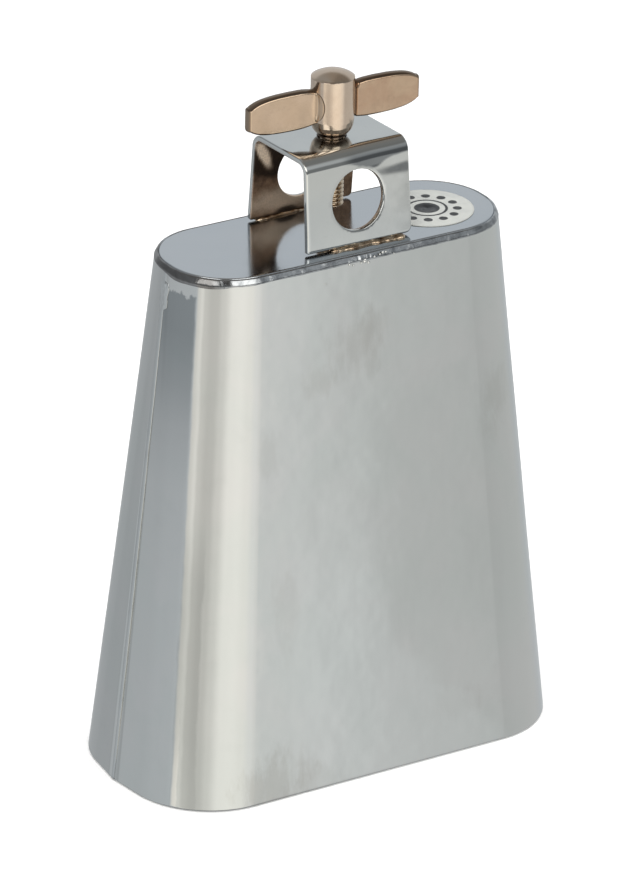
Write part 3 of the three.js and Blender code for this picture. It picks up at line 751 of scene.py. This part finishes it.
def rounded_rect(x0, x1, s0, s1, radii, inset):
    """Anticlockwise loop with rounded corners, moved inward by inset; radii go front right, rear right, rear left, front left."""
    x0, x1, s0, s1 = x0 + inset, x1 - inset, s0 + inset, s1 - inset
    r = [max(q - inset, 0.05) for q in radii]
    corners = [(x1 - r[0], s0 + r[0], r[0], -0.5 * math.pi), (x1 - r[1], s1 - r[1], r[1], 0.0), (x0 + r[2], s1 - r[2], r[2], 0.5 * math.pi), (x0 + r[3], s0 + r[3], r[3], math.pi)]
    out = []
    for i, (cx, cy, rr, a0) in enumerate(corners):
        arc = [(cx + rr * math.cos(a0 + 0.5 * math.pi * k / 6), cy + rr * math.sin(a0 + 0.5 * math.pi * k / 6)) for k in range(7)]
        nx, ny, nr, na = corners[(i + 1) % 4]
        out += arc
        out.append(("n", np.array(arc[-1]), np.array((nx + nr * math.cos(na), ny + nr * math.sin(na)))))
    return out


def loop_points(kind, inset, counts):
    """A boundary loop of the flat strap at an inset; every inset gives the same number of points."""
    if kind == "outer":
        raw = rounded_rect(-B["w"] / 2, B["w"] / 2, 0.0, LEN, (1.6, 1.1, 0.55, 0.45), inset)
        pts, side = [], 0
        for p in raw:
            if isinstance(p[0], str):
                a, b = p[1], p[2]
                n = counts[side]
                side += 1
                pts += [tuple(a + (b - a) * k / n) for k in range(1, n)]
            else:
                pts.append(p)
        return pts
    cx, cy, r, n = kind
    return [(cx + (r + inset) * math.cos(2 * math.pi * k / n), cy + (r + inset) * math.sin(2 * math.pi * k / n)) for k in range(n)]


def build_bracket():
    # a rod hole's centre along the strap
    sh = (HOLE["z"] - B["gap"]) / cs
    inv = place.inverted() @ Vector((AX, AY, TOP + B["h"]))
    bolt_s = L1 + LB + (inv.y - yc)
    counts = (150, 34, 150, 34)
    # order of sides in rounded_rect: right side going up, top, left side, bottom
    kinds = ["outer", (HOLE["x"], sh, HOLE["r"], 96), (HOLE["x"], LEN - sh, HOLE["r"], 96), (inv.x, bolt_s, 3.3, 48)]
    T = B["t"]
    re = 0.36
    # from the outer face (inset re, depth 0) round to the side (inset 0, depth re), down, and round to the inner face
    front = [(re * (1 - math.sin(a)), re * (1 - math.cos(a))) for a in [0.5 * math.pi * k / 7 for k in range(8)]]
    back = [(i, T - d) for i, d in reversed(front)]
    path = front + back
    verts, faces, inner, painted_highlight, dark_marks_and_painted_shade = [], [], [], [], []

    def paint(x, s, depth):
        """How browned a point of the strap is, and how much painted highlight and painted shade (with some dark marks)
        it gets.
        """
        h = (LEN - s) * cs if s > LEN / 2 else s * cs
        q = smooth(T * 0.30, T * 0.80, depth)
        # the sawn foot is dark
        q = max(q, smooth(0.30, 0.10, h) * smooth(T * 0.12, T * 0.35, depth))
        inner.append(q)
        w = 0.35 * fbm(x * 0.35, s * 0.35, 2.0, 44)
        if s > LEN / 2:
            # painted highlight: a pale glow high on the rear ear's inside and a paler area low down; painted shade:
            # near-black patches round the glow and low near the foot
            cx = -11.6 + (16.3 - h) * 0.50
            d = math.hypot((x - cx) / 1.75, (h - 16.4) / 4.4) + w * 0.4
            glow_blob = smooth(1.15, 0.55, d)
            pale = 0.50 * smooth(1.5, 0.3, math.hypot((x + 5.0) / 9.5, (h - 3.9) / 3.1) + w * 0.5)
            dark = smooth(1.25, 0.8, math.hypot((x + 9.5) / 6.8, (h - 15.2) / 5.6) + w * 0.5) * (1 - glow_blob)
            dark = max(dark, smooth(1.2, 0.6, math.hypot((x + 4.2) / 3.4, (h - 0.3) / 1.4) + w * 0.4), 0.9 * smooth(0.9, 0.2, h) * smooth(2.0, -2.0, x))
            painted_highlight.append(max(glow_blob, pale))
            dark_marks_and_painted_shade.append(dark if depth > T * 0.4 else 0.0)
        else:
            painted_highlight.append(0.25 * smooth(1.3, 0.3, math.hypot((x - 2) / 9.0, (h - 5.0) / 5.0) + w))
            foot_dark = smooth(0.35, 0.12, h)
            if depth < T * 0.5:
                # painted shade along the lower edge of the bend, reaching lowest over the hole
                line = 19.55 + 0.5 * smooth(-9.0, -13.5, x) - 0.55 * smooth(-4.0, 1.0, x) + 0.25 * smooth(9.0, 13.5, x) - 1.7 * math.exp(-((x - 4.7) / (4.0 if x < 4.7 else 2.7)) ** 2) + 0.12 * fbm(x * 0.5, 1.0, 0.0, 47, 2)
                dark_marks_and_painted_shade.append(max(foot_dark * 0.8, smooth(line - 0.25, line + 0.35, s + B["gap"]) * smooth(L1 + 2.4, L1 + 0.6, s) * smooth(-5.0, -0.5, x)))
            else:
                dark_marks_and_painted_shade.append(max(0.5 * smooth(0.2, 0.7, w + 0.3), foot_dark))

    loops_idx = []
    for kind in kinds:
        rows = []
        for inset, depth in path:
            # a bore's rounding is smaller than an outside edge's
            k = 1.0 if kind == "outer" else 0.6
            pts = loop_points(kind, inset * k, counts)
            row = []
            for x, s in pts:
                row.append(len(verts))
                verts.append(strap_point(x, s, depth))
                # only a bore's wall is brown through its depth; the outside edges stay plated
                paint(x, s, depth if kind != "outer" or min(s, LEN - s) < 0.35 else max(0.0, depth * 1.6 - T * 0.8))
            rows.append(row)
        loops_idx.append((kind, rows))
        for a, b in zip(rows, rows[1:]):
            n = len(a)
            for j in range(n):
                faces.append((a[j], a[(j + 1) % n], b[(j + 1) % n], b[j]))
    # the two broad faces, triangulated in the flat and then bent
    for which, depth in ((0, 0.0), (-1, T)):
        pts2, segs = [], []
        for kind, rows in loops_idx:
            k = 1.0 if kind == "outer" else 0.6
            inset = path[which][0] * k
            loop = loop_points(kind, inset, counts)
            b = len(pts2)
            pts2 += loop
            segs += [(b + j, b + (j + 1) % len(loop)) for j in range(len(loop))]
        known = [i for kind, rows in loops_idx for i in rows[which]]
        nb = len(pts2)
        xs = np.linspace(-B["w"] / 2 + 0.9, B["w"] / 2 - 0.9, 50)
        ss = np.concatenate([
            np.linspace(0.8, L1 - 3.2, 28), np.linspace(L1 - 2.9, L1 - 0.15, 12), np.linspace(L1, L1 + LB, 18), np.linspace(L1 + LB + 0.5, LEN - L1 - LB - 0.5, 20),
            np.linspace(LEN - L1 - LB, LEN - L1, 16), np.linspace(LEN - L1 + 0.4, LEN - 0.8, 38)])
        holes = [k for k in kinds if k != "outer"]
        for s in ss:
            for x in xs:
                if all(math.hypot(x - h[0], s - h[1]) > h[2] + 0.75 for h in holes):
                    pts2.append((x, s))
        res = delaunay_2d_cdt([Vector(p) for p in pts2], segs, [], 0, 1e-6)
        vv, ff, orig = res[0], res[2], res[3]
        new = []
        for i, v in enumerate(vv):
            src = [o for o in orig[i] if o < nb]
            if src:
                new.append(known[src[0]])
            else:
                new.append(len(verts))
                verts.append(strap_point(v.x, v.y, depth))
                paint(v.x, v.y, depth)
        for f in ff:
            c = np.mean([[vv[i].x, vv[i].y] for i in f], axis=0)
            if any(math.hypot(c[0] - h[0], c[1] - h[1]) < h[2] + path[which][0] * 0.6 - 0.002 for h in holes):
                continue
            if not (-B["w"] / 2 < c[0] < B["w"] / 2 and 0 < c[1] < LEN):
                continue
            idx = [new[i] for i in f]
            if len(set(idx)) >= 3:
                faces.append(tuple(idx))
    ob = make("mounting_bracket_strap", verts, faces, "bell", mat_bracket, ("mounting_bracket",), attr={"inner": inner, "painted_highlight": painted_highlight, "dark_marks_and_painted_shade": dark_marks_and_painted_shade})
    return tidy(ob)


build_bracket()


# ------------------------------------------------------------------ braze under the ears
def build_braze(side, node):
    rows = []
    xs = np.linspace(-7.8 if side < 0 else -11.0, 12.4, 170)
    foot_y = foot[0]
    for x in xs:
        end = smooth(xs[0], xs[0] + 1.2, x) * smooth(xs[-1], xs[-1] - 1.2, x)
        k = fbm(x * 0.20, 0.0, 0.0, 51 + side, 2) + 0.22 * n3(x * 0.8, 0, 0, 52 + side)
        out = (0.85 + 0.55 * k + 0.25 * smooth(0.0, 8.0, x)) * end + 0.05
        hi = (B["gap"] + 0.10 + 0.26 * n3(x * 0.5, 2.0, 0, 53 + side)) * end + 0.02
        ins = (0.55 + 0.3 * n3(x * 0.5, 4.0, 0, 54 + side)) * end
        ring = []
        for j in range(19):
            a = math.pi * j / 18
            if a <= math.pi / 2:
                y = foot_y - out * math.cos(a) ** 0.9
            else:
                y = foot_y + B["t"] + ins * abs(math.cos(a)) ** 0.9
            f = math.sin(a)
            yy = y if abs(a - math.pi / 2) > 0.12 else foot_y + B["t"] * 0.5
            z = hi * f ** 0.8 + 0.07 * n3(x * 0.9, a * 1.2, 0, 55 + side) * f
            ring.append((x, yy, max(z, 0.0)))
        ring.append((x, foot_y + B["t"] * 0.5, -0.05))
        rows.append(ring)
    cols = len(rows[0])
    verts = []
    for r in rows:
        for x, y, z in r:
            if side > 0:
                x, y = -x, -y
            else:
                dx, dy = ear_shift(x, 1.0)
                x, y = x + dx, y + dy
            v = place @ Vector((x, y, z))
            verts.append((v.x, v.y, v.z))
    faces = grid_faces(len(rows), cols, wrap_cols=True)
    faces.append(tuple(range(cols)))
    faces.append(tuple((len(rows) - 1) * cols + j for j in range(cols))[::-1])
    tidy(make(node + "_fillet", verts, faces, "bell", mat_braze, (node,), weighted=False))


build_braze(-1, "bracket_braze_front")
build_braze(1, "bracket_braze_rear")


# ------------------------------------------------------------------ turned pieces
def lathe(name, profile, cx, cy, body, mat, replaces, seg=128, wobble=0.0, weighted=True):
    rows = []
    for r, z in profile:
        ring = []
        for k in range(seg):
            a = 2 * math.pi * k / seg
            rr = r * (1 + wobble * n3(math.cos(a) * 1.2, math.sin(a) * 1.2, z * 0.35, 61)) if r > 0.2 else r
            ring.append((cx + rr * math.cos(a), cy + rr * math.sin(a), z))
        rows.append(ring)
    verts = [v for r in rows for v in r]
    faces = grid_faces(len(rows), seg, wrap_rows=True, wrap_cols=True)
    return tidy(make(name, verts, faces, body, mat, replaces, weighted=weighted))


def rounded(points, radii, steps=6):
    """Round the corners of an open (r, z) profile: points with a radius above 0 are replaced by a small arc."""
    out = []
    for i, (p, rad) in enumerate(zip(points, radii)):
        if rad <= 0 or i == 0 or i == len(points) - 1:
            out.append(p)
            continue
        p0, p1, p2 = np.array(points[i - 1], float), np.array(p, float), np.array(points[i + 1], float)
        u, v = p0 - p1, p2 - p1
        lu, lv = np.linalg.norm(u), np.linalg.norm(v)
        u, v = u / lu, v / lv
        ang = math.acos(max(-1, min(1, float(u @ v))))
        d = min(rad / math.tan(ang / 2), lu * 0.49, lv * 0.49)
        a, b = p1 + u * d, p1 + v * d
        for k in range(steps + 1):
            t = k / steps
            out.append(tuple((1 - t) ** 2 * a + 2 * t * (1 - t) * p1 + t * t * b))
    return out


def build_hub():
    z0, r, top = float(hub_lo[2]), float(hub_hi[0] - hub_lo[0]) / 2, float(hub_hi[2])
    rim = top - 1.55
    pts = [
        (3.06, z0 + 8.3), (3.06, z0), (3.36, z0), (3.34, z0 + 0.34), (3.66, z0 + 0.66),
        (4.12, z0 + 1.15), (4.60, z0 + 1.85), (4.90, z0 + 2.8), (r, z0 + 4.0), (r, rim),
    ]
    rad = [0, 0.08, 0.08, 0.18, 0.15, 0.7, 1.0, 1.3, 1.6, 0]
    prof = rounded(pts, rad, 8)[:-1]
    # a small rounded lip, then a shallow dome
    ball = ((r - 0.15) ** 2 + 1.45 ** 2) / (2 * 1.45)
    for k in range(9):
        a = math.radians(60) * k / 8
        prof.append((r - 0.20 + 0.20 * math.cos(a), rim - 0.15 + 0.20 * math.sin(a)))
    for k in range(1, 25):
        q = (r - 0.14) * (1 - k / 24)
        prof.append((max(q, 0.001), top - (ball - math.sqrt(ball * ball - q * q))))
    prof += [(0.001, z0 + 8.3)]
    lathe("clamp_hub_turned", prof, AX, AY, "wing_head", mat_bolt, ("clamp_hub",), 160, 0.003)


build_hub()

WING = dict(yaw=-4.3 * math.pi / 180, half=1.4, mid=float(wing_lo[2] + wing_hi[2]) / 2, tilt=0.03, crown=0.55)
HALF = [(3.0, 3.35), (5.0, 3.55), (6.0, 3.78), (8.0, 4.06), (11.0, 4.12), (14.0, 4.06), (16.0, 3.92), (18.0, 3.65), (19.5, 3.25), (20.5, 2.80), (21.25, 2.28)]
WING["mid"] = AXIS_Z = float(turn["pos_m"][2]) * 1000.0


def half_height(s):
    xs, ys = zip(*HALF)
    s = min(s, xs[-1])
    if s > xs[-1] - 0.7:
        return float(np.interp(s, xs, ys))
    return float(sum(np.interp(s + d, xs, ys) for d in (-0.7, -0.35, 0.0, 0.35, 0.7)) / 5.0)


def build_wing(side, node, mat, seed):
    tip, half, crown = 21.25, WING["half"], WING["crown"]
    hubr = float(hub_hi[0] - hub_lo[0]) / 2
    joint = math.sqrt(hubr ** 2 - half ** 2)
    m = 46

    def root_line(z):
        """How far round the hub, from the wing's own line, the root's front pad reaches at this height."""
        q = (z - 0.35) / 3.55
        plain = math.asin(half / hubr)
        return plain + math.radians(27.0) * math.sqrt(max(0.0, 1.0 - q * q)) if side < 0 else plain

    rows = []
    n_root, n_out = 26, 120
    for i in range(n_root + n_out + 10):
        ring = []
        # height stations on one face
        zs = [-1.0 + 2.0 * j / m for j in range(m + 1)]
        end_in = 0.0
        for which in (-1, 1):  # front face bottom to top, then back face top to bottom
            part = []
            for q in (zs if which < 0 else zs[::-1]):
                # station along the wing: from inside the hub, round the pad, out to the tip
                zq = q * 3.6
                if which < 0 and side < 0:
                    th = root_line(zq)
                else:
                    th = math.asin(half / hubr)
                s_line = hubr * math.cos(th)
                plain = math.asin(half / hubr)
                out_r = hubr + 0.09
                beta = math.asin(half / out_r) + 0.42 * max(0.0, th - plain)
                rf = (out_r * math.sin(beta) - half) / (1.0 - math.sin(beta))
                s0 = (out_r + rf) * math.cos(beta)
                if i < n_root:
                    u = max(0.0, (i - 1) / (n_root - 1))
                    if i == 0:
                        s, y = s_line - 0.25, (hubr - 0.35) * math.sin(th)
                    elif th - plain < 0.01:
                        s, y = s_line - 0.2 + (s0 + 0.2 - s_line) * u, half
                    elif u < 0.45:
                        a = th + (beta - th) * u / 0.45
                        s, y = out_r * math.cos(a), out_r * math.sin(a)
                    else:
                        # a fillet from the hub to the flat
                        a = beta + (0.5 * math.pi - beta) * (u - 0.45) / 0.55
                        s, y = s0 - rf * math.cos(a), half + rf - rf * math.sin(a)
                else:
                    u = min(1.0, (i - n_root + 1) / n_out)
                    s = s0 + (tip - s0) * u
                    y = half
                    if which < 0 and side > 0:
                        y -= 0.62 * smooth(5.72, 5.60, s)
                z = q * half_height(s)
                if which < 0 and side > 0 and s < 6.6 and q > 0.55:
                    # the right wing's root has a rounded upper corner
                    k = max(0.0, 1.0 - (s - 5.66) / 0.9) * max(0.0, (q - 0.72) / 0.28)
                    y -= 0.55 * k * k
                part.append((s, which * y, z))
            ring.append(part)
        front, back = ring

        def edge(a, b, up):
            out = []
            for j in range(1, 12):
                t = j / 12
                y = a[1] + (b[1] - a[1]) * t
                w = 1 - abs(2 * t - 1) ** 2.6
                out.append((a[0] + (b[0] - a[0]) * t, y, a[2] + (b[2] - a[2]) * t + up * crown * w ** 0.7))
            return out

        loop = front + edge(front[-1], back[0], 1) + back + edge(back[-1], front[0], -1)
        if i >= n_root + n_out:
            # the tip closes over in a crowned end
            k = (i - n_root - n_out + 1) / 10
            f = math.cos(0.5 * math.pi * k)
            ext = crown * math.sin(0.5 * math.pi * k)
            loop = [(s + ext, y * (0.30 + 0.70 * f), z * (1 - 0.10 * (1 - f))) for s, y, z in loop]
        rows.append(loop)
    cols = len(rows[0])
    verts = []
    ca, sa = math.cos(WING["yaw"]), math.sin(WING["yaw"])
    seam_and_shade_values = []
    for i, r in enumerate(rows):
        for s, y, z in r:
            w = 0.05 * fbm(s * 0.12, z * 0.15, y, seed, 2) * smooth(7.0, 10.0, s)
            x, yy, zz = s, y + w, z
            if side < 0:
                # the front face stays towards -Y on both wings
                x = -s
            zz += WING["tilt"] * x
            X, Y = ca * x - sa * yy, sa * x + ca * yy
            verts.append((AX + X, AY + Y, WING["mid"] + zz))
            # painted dark reflection on the crowned edges and the tip, painted shade in the right wing's root recess,
            # and a dark seam line at the left wing's root
            q = max(0.0, abs(z) - half_height(s)) / crown
            painted_edge_shade = 0.60 * smooth(0.15, 0.5, q) * smooth(1.35, 1.1, abs(y) / half) + (0.50 * smooth(0.1, 0.5, (s - tip) / crown) if s > tip else 0.0)
            seam_and_shade_values.append(1.0 if (side < 0 and i <= 2 and y < 0) or (side > 0 and y < 0 and s < 5.6) else min(0.62, painted_edge_shade))
    faces = grid_faces(len(rows), cols, wrap_cols=True)
    faces.append(tuple(range(cols)))
    faces.append(tuple((len(rows) - 1) * cols + j for j in range(cols))[::-1])
    tidy(make(node + "_plate", verts, faces, "wing_head", mat, (node,), attr={"seam_and_painted_shade": seam_and_shade_values}))


build_wing(-1, "left_wing", mat_wing, 71)
build_wing(1, "right_wing", mat_wing_r, 75)


def build_stud():
    pitch = 1.0
    z0, z1 = float(stud_lo[2]), 149.5
    per = 14
    seg = 56
    n = int((z1 - z0 - 0.35) * per)
    rows = []

    def radius(z, a):
        f = (z / pitch - a / (2 * math.pi)) % 1.0
        t = abs(2 * f - 1)
        flank = min(1.0, max(0.0, (t - 0.14) / 0.66))
        r = 2.42 + (2.98 - 2.42) * flank
        cut = 2.0 + (z - z0) * 1.3  # pointed end
        return min(r, cut)

    for i in range(n + 1):
        z = z0 + 0.02 + i / per
        rows.append([(AX + radius(z, 2 * math.pi * k / seg) * math.cos(2 * math.pi * k / seg),
                      AY + radius(z, 2 * math.pi * k / seg) * math.sin(2 * math.pi * k / seg), z) for k in range(seg)])
    zt = z0 + 0.02 + n / per
    for r, z in ((2.9, zt + 0.3), (2.9, float(stud_hi[2]) - 0.4), (2.5, float(stud_hi[2]))):
        rows.append([(AX + r * math.cos(2 * math.pi * k / seg), AY + r * math.sin(2 * math.pi * k / seg), z) for k in range(seg)])
    first = [(AX + 1.2 * math.cos(2 * math.pi * k / seg), AY + 1.2 * math.sin(2 * math.pi * k / seg), z0 + 0.02) for k in range(seg)]
    rows = [first] + rows
    verts = [v for r in rows for v in r]
    faces = grid_faces(len(rows), seg, wrap_cols=True)
    faces.append(tuple(range(seg))[::-1])
    faces.append(tuple((len(rows) - 1) * seg + k for k in range(seg)))
    tidy(make("clamp_stud_thread", verts, faces, "clamp_screw", mat_stud, ("clamp_stud",), weighted=False))


build_stud()


def build_nut():
    z0, z1 = float(nut_lo[2]), float(nut_hi[2])
    af = float(nut_hi[1] - nut_lo[1])
    seg = 144

    def hexr(a):
        k = (a % (math.pi / 3)) - math.pi / 6
        return af / 2 / math.cos(k)

    rows = []
    for lim, z in ((4.75, z0), (5.05, z0 + 0.14), (5.4, z0 + 0.34), (5.85, z0 + 0.62), (5.85, z1 - 0.62), (5.4, z1 - 0.34), (5.05, z1 - 0.14), (4.75, z1)):
        rows.append([(AX + min(hexr(2 * math.pi * k / seg), lim) * math.cos(2 * math.pi * k / seg),
                      AY + min(hexr(2 * math.pi * k / seg), lim) * math.sin(2 * math.pi * k / seg), z) for k in range(seg)])
    for r, z in ((3.5, z1), (3.1, z1 - 0.4), (3.1, z0 + 0.4), (3.5, z0)):
        rows.append([(AX + r * math.cos(2 * math.pi * k / seg), AY + r * math.sin(2 * math.pi * k / seg), z) for k in range(seg)])
    verts = [v for r in rows for v in r]
    faces = grid_faces(len(rows), seg, wrap_rows=True, wrap_cols=True)
    tidy(make("bracket_nut_hex", verts, faces, "bell", mat_nut, ("bracket_nut",)))


build_nut()


def build_label():
    cx, cy = float(lab_lo[0] + lab_hi[0]) / 2, float(lab_lo[1] + lab_hi[1]) / 2
    r, z0, z1 = float(lab_hi[0] - lab_lo[0]) / 2, float(lab_lo[2]) - 0.01, float(lab_hi[2])
    mat_label = label_material(cx, cy, r)
    prof = [(0.001, z0), (r - 0.02, z0), (r, z0 + 0.05), (r - 0.01, z1 - 0.04), (r - 0.06, z1 - 0.01), (r - 0.16, z1)]
    prof += [(r * k, z1) for k in (0.9, 0.75, 0.5, 0.25)] + [(0.001, z1)]
    lathe("label_film", prof, cx, cy, "bell", mat_label, ("label_disc",), 160)


build_label()

# ------------------------------------------------------------------ floor, light, surroundings, camera
def build_floor():
    me = bpy.data.meshes.new("floor")
    s = 6.0
    me.from_pydata([(-s, -s, 0), (s, -s, 0), (s, s, 0), (-s, s, 0)], [], [(0, 1, 2, 3)])
    ob = bpy.data.objects.new("floor", me)
    ob.location = (0, 0, -0.0002)
    bpy.context.scene.collection.objects.link(ob)
    m = bpy.data.materials.new("floor_paper")
    m.use_nodes = True
    m.node_tree.nodes.clear()
    n = Nodes(m.node_tree)
    out = n.n("ShaderNodeOutputMaterial")
    d = n.n("ShaderNodeBsdfDiffuse")
    d.inputs[0].default_value = (0.86, 0.86, 0.86, 1)
    e = n.n("ShaderNodeEmission")
    e.inputs[0].default_value = (1, 1, 1, 1)
    e.inputs[1].default_value = 0.12
    a = n.n("ShaderNodeAddShader")
    n.link(d.outputs[0], a.inputs[0])
    n.link(e.outputs[0], a.inputs[1])
    n.link(a.outputs[0], out.inputs[0])
    me.materials.append(m)
    ob.visible_glossy = False


build_floor()


def build_world():
    w = bpy.data.worlds.new("studio")
    bpy.context.scene.world = w
    w.use_nodes = True
    w.node_tree.nodes.clear()
    n = Nodes(w.node_tree)
    out = n.n("ShaderNodeOutputWorld")
    bg = n.n("ShaderNodeBackground")
    n.link(bg.outputs[0], out.inputs[0])
    tc = n.n("ShaderNodeTexCoord")
    x, y, z = n.sep(tc.outputs["Generated"])
    az = n.math("MULTIPLY", n.math("ARCTAN2", y, x), 180 / math.pi)
    el = n.math("MULTIPLY", n.math("ARCSINE", z), 180 / math.pi)
    fac = n.math("DIVIDE", n.math("ADD", az, 180.0), 360.0)

    def g(v, t=0):
        tints = ((0.99, 1.0, 0.985), (1.0, 0.974, 0.912), (0.95, 0.99, 1.02), (1.0, 0.93, 0.85), (1.0, 0.985, 0.95))
        return tuple(v * 0.5 * c for c in tints[t])

    def ring(stops, mode="EASE"):
        return n.ramp(fac, [((a + 180) / 360, g(v, t)) for a, v, t in stops], mode)

    # Level with the body and below: broad soft light on the left, a narrow one beyond it, dim behind.
    low = ring([(-180, 0.60, 2), (-172.5, 0.63, 2), (-169, 0.86, 1), (-162, 0.98, 1), (-157, 0.80, 1), (-146, 0.71, 1), (-138, 0.72, 1), (-128, 0.86, 1),
                (-112, 1.12, 1), (-98, 1.15, 1), (-84, 1.09, 1), (-72, 0.99, 4), (-66, 0.92, 4), (-62.5, 0.80, 0), (-58, 0.655, 0), (-52, 0.59, 0), (-25, 0.61, 0),
                (5, 0.615, 0), (35, 0.575, 2), (60, 0.54, 2), (85, 0.46, 2), (105, 0.47, 2), (122, 0.44, 2), (135, 0.56, 2), (160, 0.59, 2), (180, 0.60, 2)])
    # Just above eye level, higher up, and overhead.
    mid = ring([(-180, 0.30, 2), (-120, 0.24, 0), (-60, 0.19, 2), (-20, 0.26, 2), (20, 0.58, 2), (57, 0.66, 2), (92, 0.58, 2), (118, 0.24, 2), (180, 0.30, 2)])
    high = ring([(-180, 0.28, 2), (-125, 0.10, 3), (-95, 0.22, 0), (-60, 0.46, 2), (-20, 0.36, 2), (20, 0.60, 2), (57, 0.64, 2), (92, 0.58, 2), (118, 0.30, 2), (180, 0.28, 2)])
    over = ring([(-180, 0.24, 3), (-100, 0.20, 3), (-20, 0.19, 0), (30, 0.22, 3), (57, 0.30, 3), (100, 0.34, 2), (180, 0.24, 3)])
    both = n.mix(n.span(el, -8.0, -4.0), low, mid)
    both = n.mix(n.span(el, 12.0, 24.0), both, high)
    both = n.mix(n.span(el, 33.0, 47.0), both, over)
    # two soft windows up on the left
    for a0, a1, e0, e1, v, soft in ((-111, -64, 14, 47, 1.00, 3.0), (-170, -134, 10, 42, 1.05, 3.0)):
        m_ = n.math("MULTIPLY", n.span(az, a0 - soft, a0 + soft), n.span(az, a1 + soft, a1 - soft))
        m_ = n.math("MULTIPLY", m_, n.math("MULTIPLY", n.span(el, e0 - 4, e0 + 4), n.span(el, e1 + 4, e1 - 4)))
        both = n.mix(m_, both, (v, v * 0.985, v * 0.95))
    # the floor near the object is dark
    both = n.mix(n.span(el, -50.0, -66.0), both, (0.13, 0.13, 0.132))
    lp = n.n("ShaderNodeLightPath")
    n.link(n.mix(lp.outputs["Is Camera Ray"], both, (0.5, 0.5, 0.5)), bg.inputs[0])
    bg.inputs[1].default_value = 2.0


build_world()


def light(name, loc, target, size, power, glossy=False, colour=(1, 1, 1)):
    ld = bpy.data.lights.new(name, "AREA")
    ld.shape = "DISK"
    ld.size = size
    ld.energy = power
    ld.color = colour
    ob = bpy.data.objects.new(name, ld)
    ob.location = loc
    ob.rotation_euler = (Vector(target) - Vector(loc)).to_track_quat("-Z", "Y").to_euler()
    bpy.context.scene.collection.objects.link(ob)
    ob.visible_glossy = glossy
    ob.visible_camera = False
    return ob


light("key", (-0.5, -0.6, 1.1), (0, 0, 0.05), 0.9, 9.0)
light("fill", (0.9, 0.3, 1.2), (0, 0, 0.05), 1.2, 7.0)
light("top", (0.0, 0.0, 1.6), (0, 0, 0), 1.6, 12.0)

# camera at the matching view: a long lens, looking down about 25 degrees from the front left
CAM = dict(az=-32.27, el=24.75, roll=1.18, f_px=6900.0, dist=1600.0, tx=1.71, ty=-10.07)
a, e, r = (math.radians(CAM[k]) for k in ("az", "el", "roll"))
F = Vector((-math.sin(a) * math.cos(e), math.cos(a) * math.cos(e), -math.sin(e)))
R0 = Vector((math.cos(a), math.sin(a), 0))
U0 = R0.cross(F)
R1 = R0 * math.cos(r) + U0 * math.sin(r)
U1 = -R0 * math.sin(r) + U0 * math.cos(r)
centre = Vector((0, 0, TOP / 2))
loc = (centre - R1 * CAM["tx"] - U1 * CAM["ty"] - F * CAM["dist"]) * MM
cd = bpy.data.cameras.new("camera")
cam = bpy.data.objects.new("camera", cd)
bpy.context.scene.collection.objects.link(cam)
m = Matrix((R1, U1, -F)).transposed().to_4x4()
m.translation = loc
cam.matrix_world = m
cd.sensor_width = 36.0
cd.sensor_fit = "AUTO"
cd.lens = CAM["f_px"] * 36.0 / 875.0
cd.clip_start = 0.05
cd.clip_end = 50.0
bpy.context.scene.camera = cam
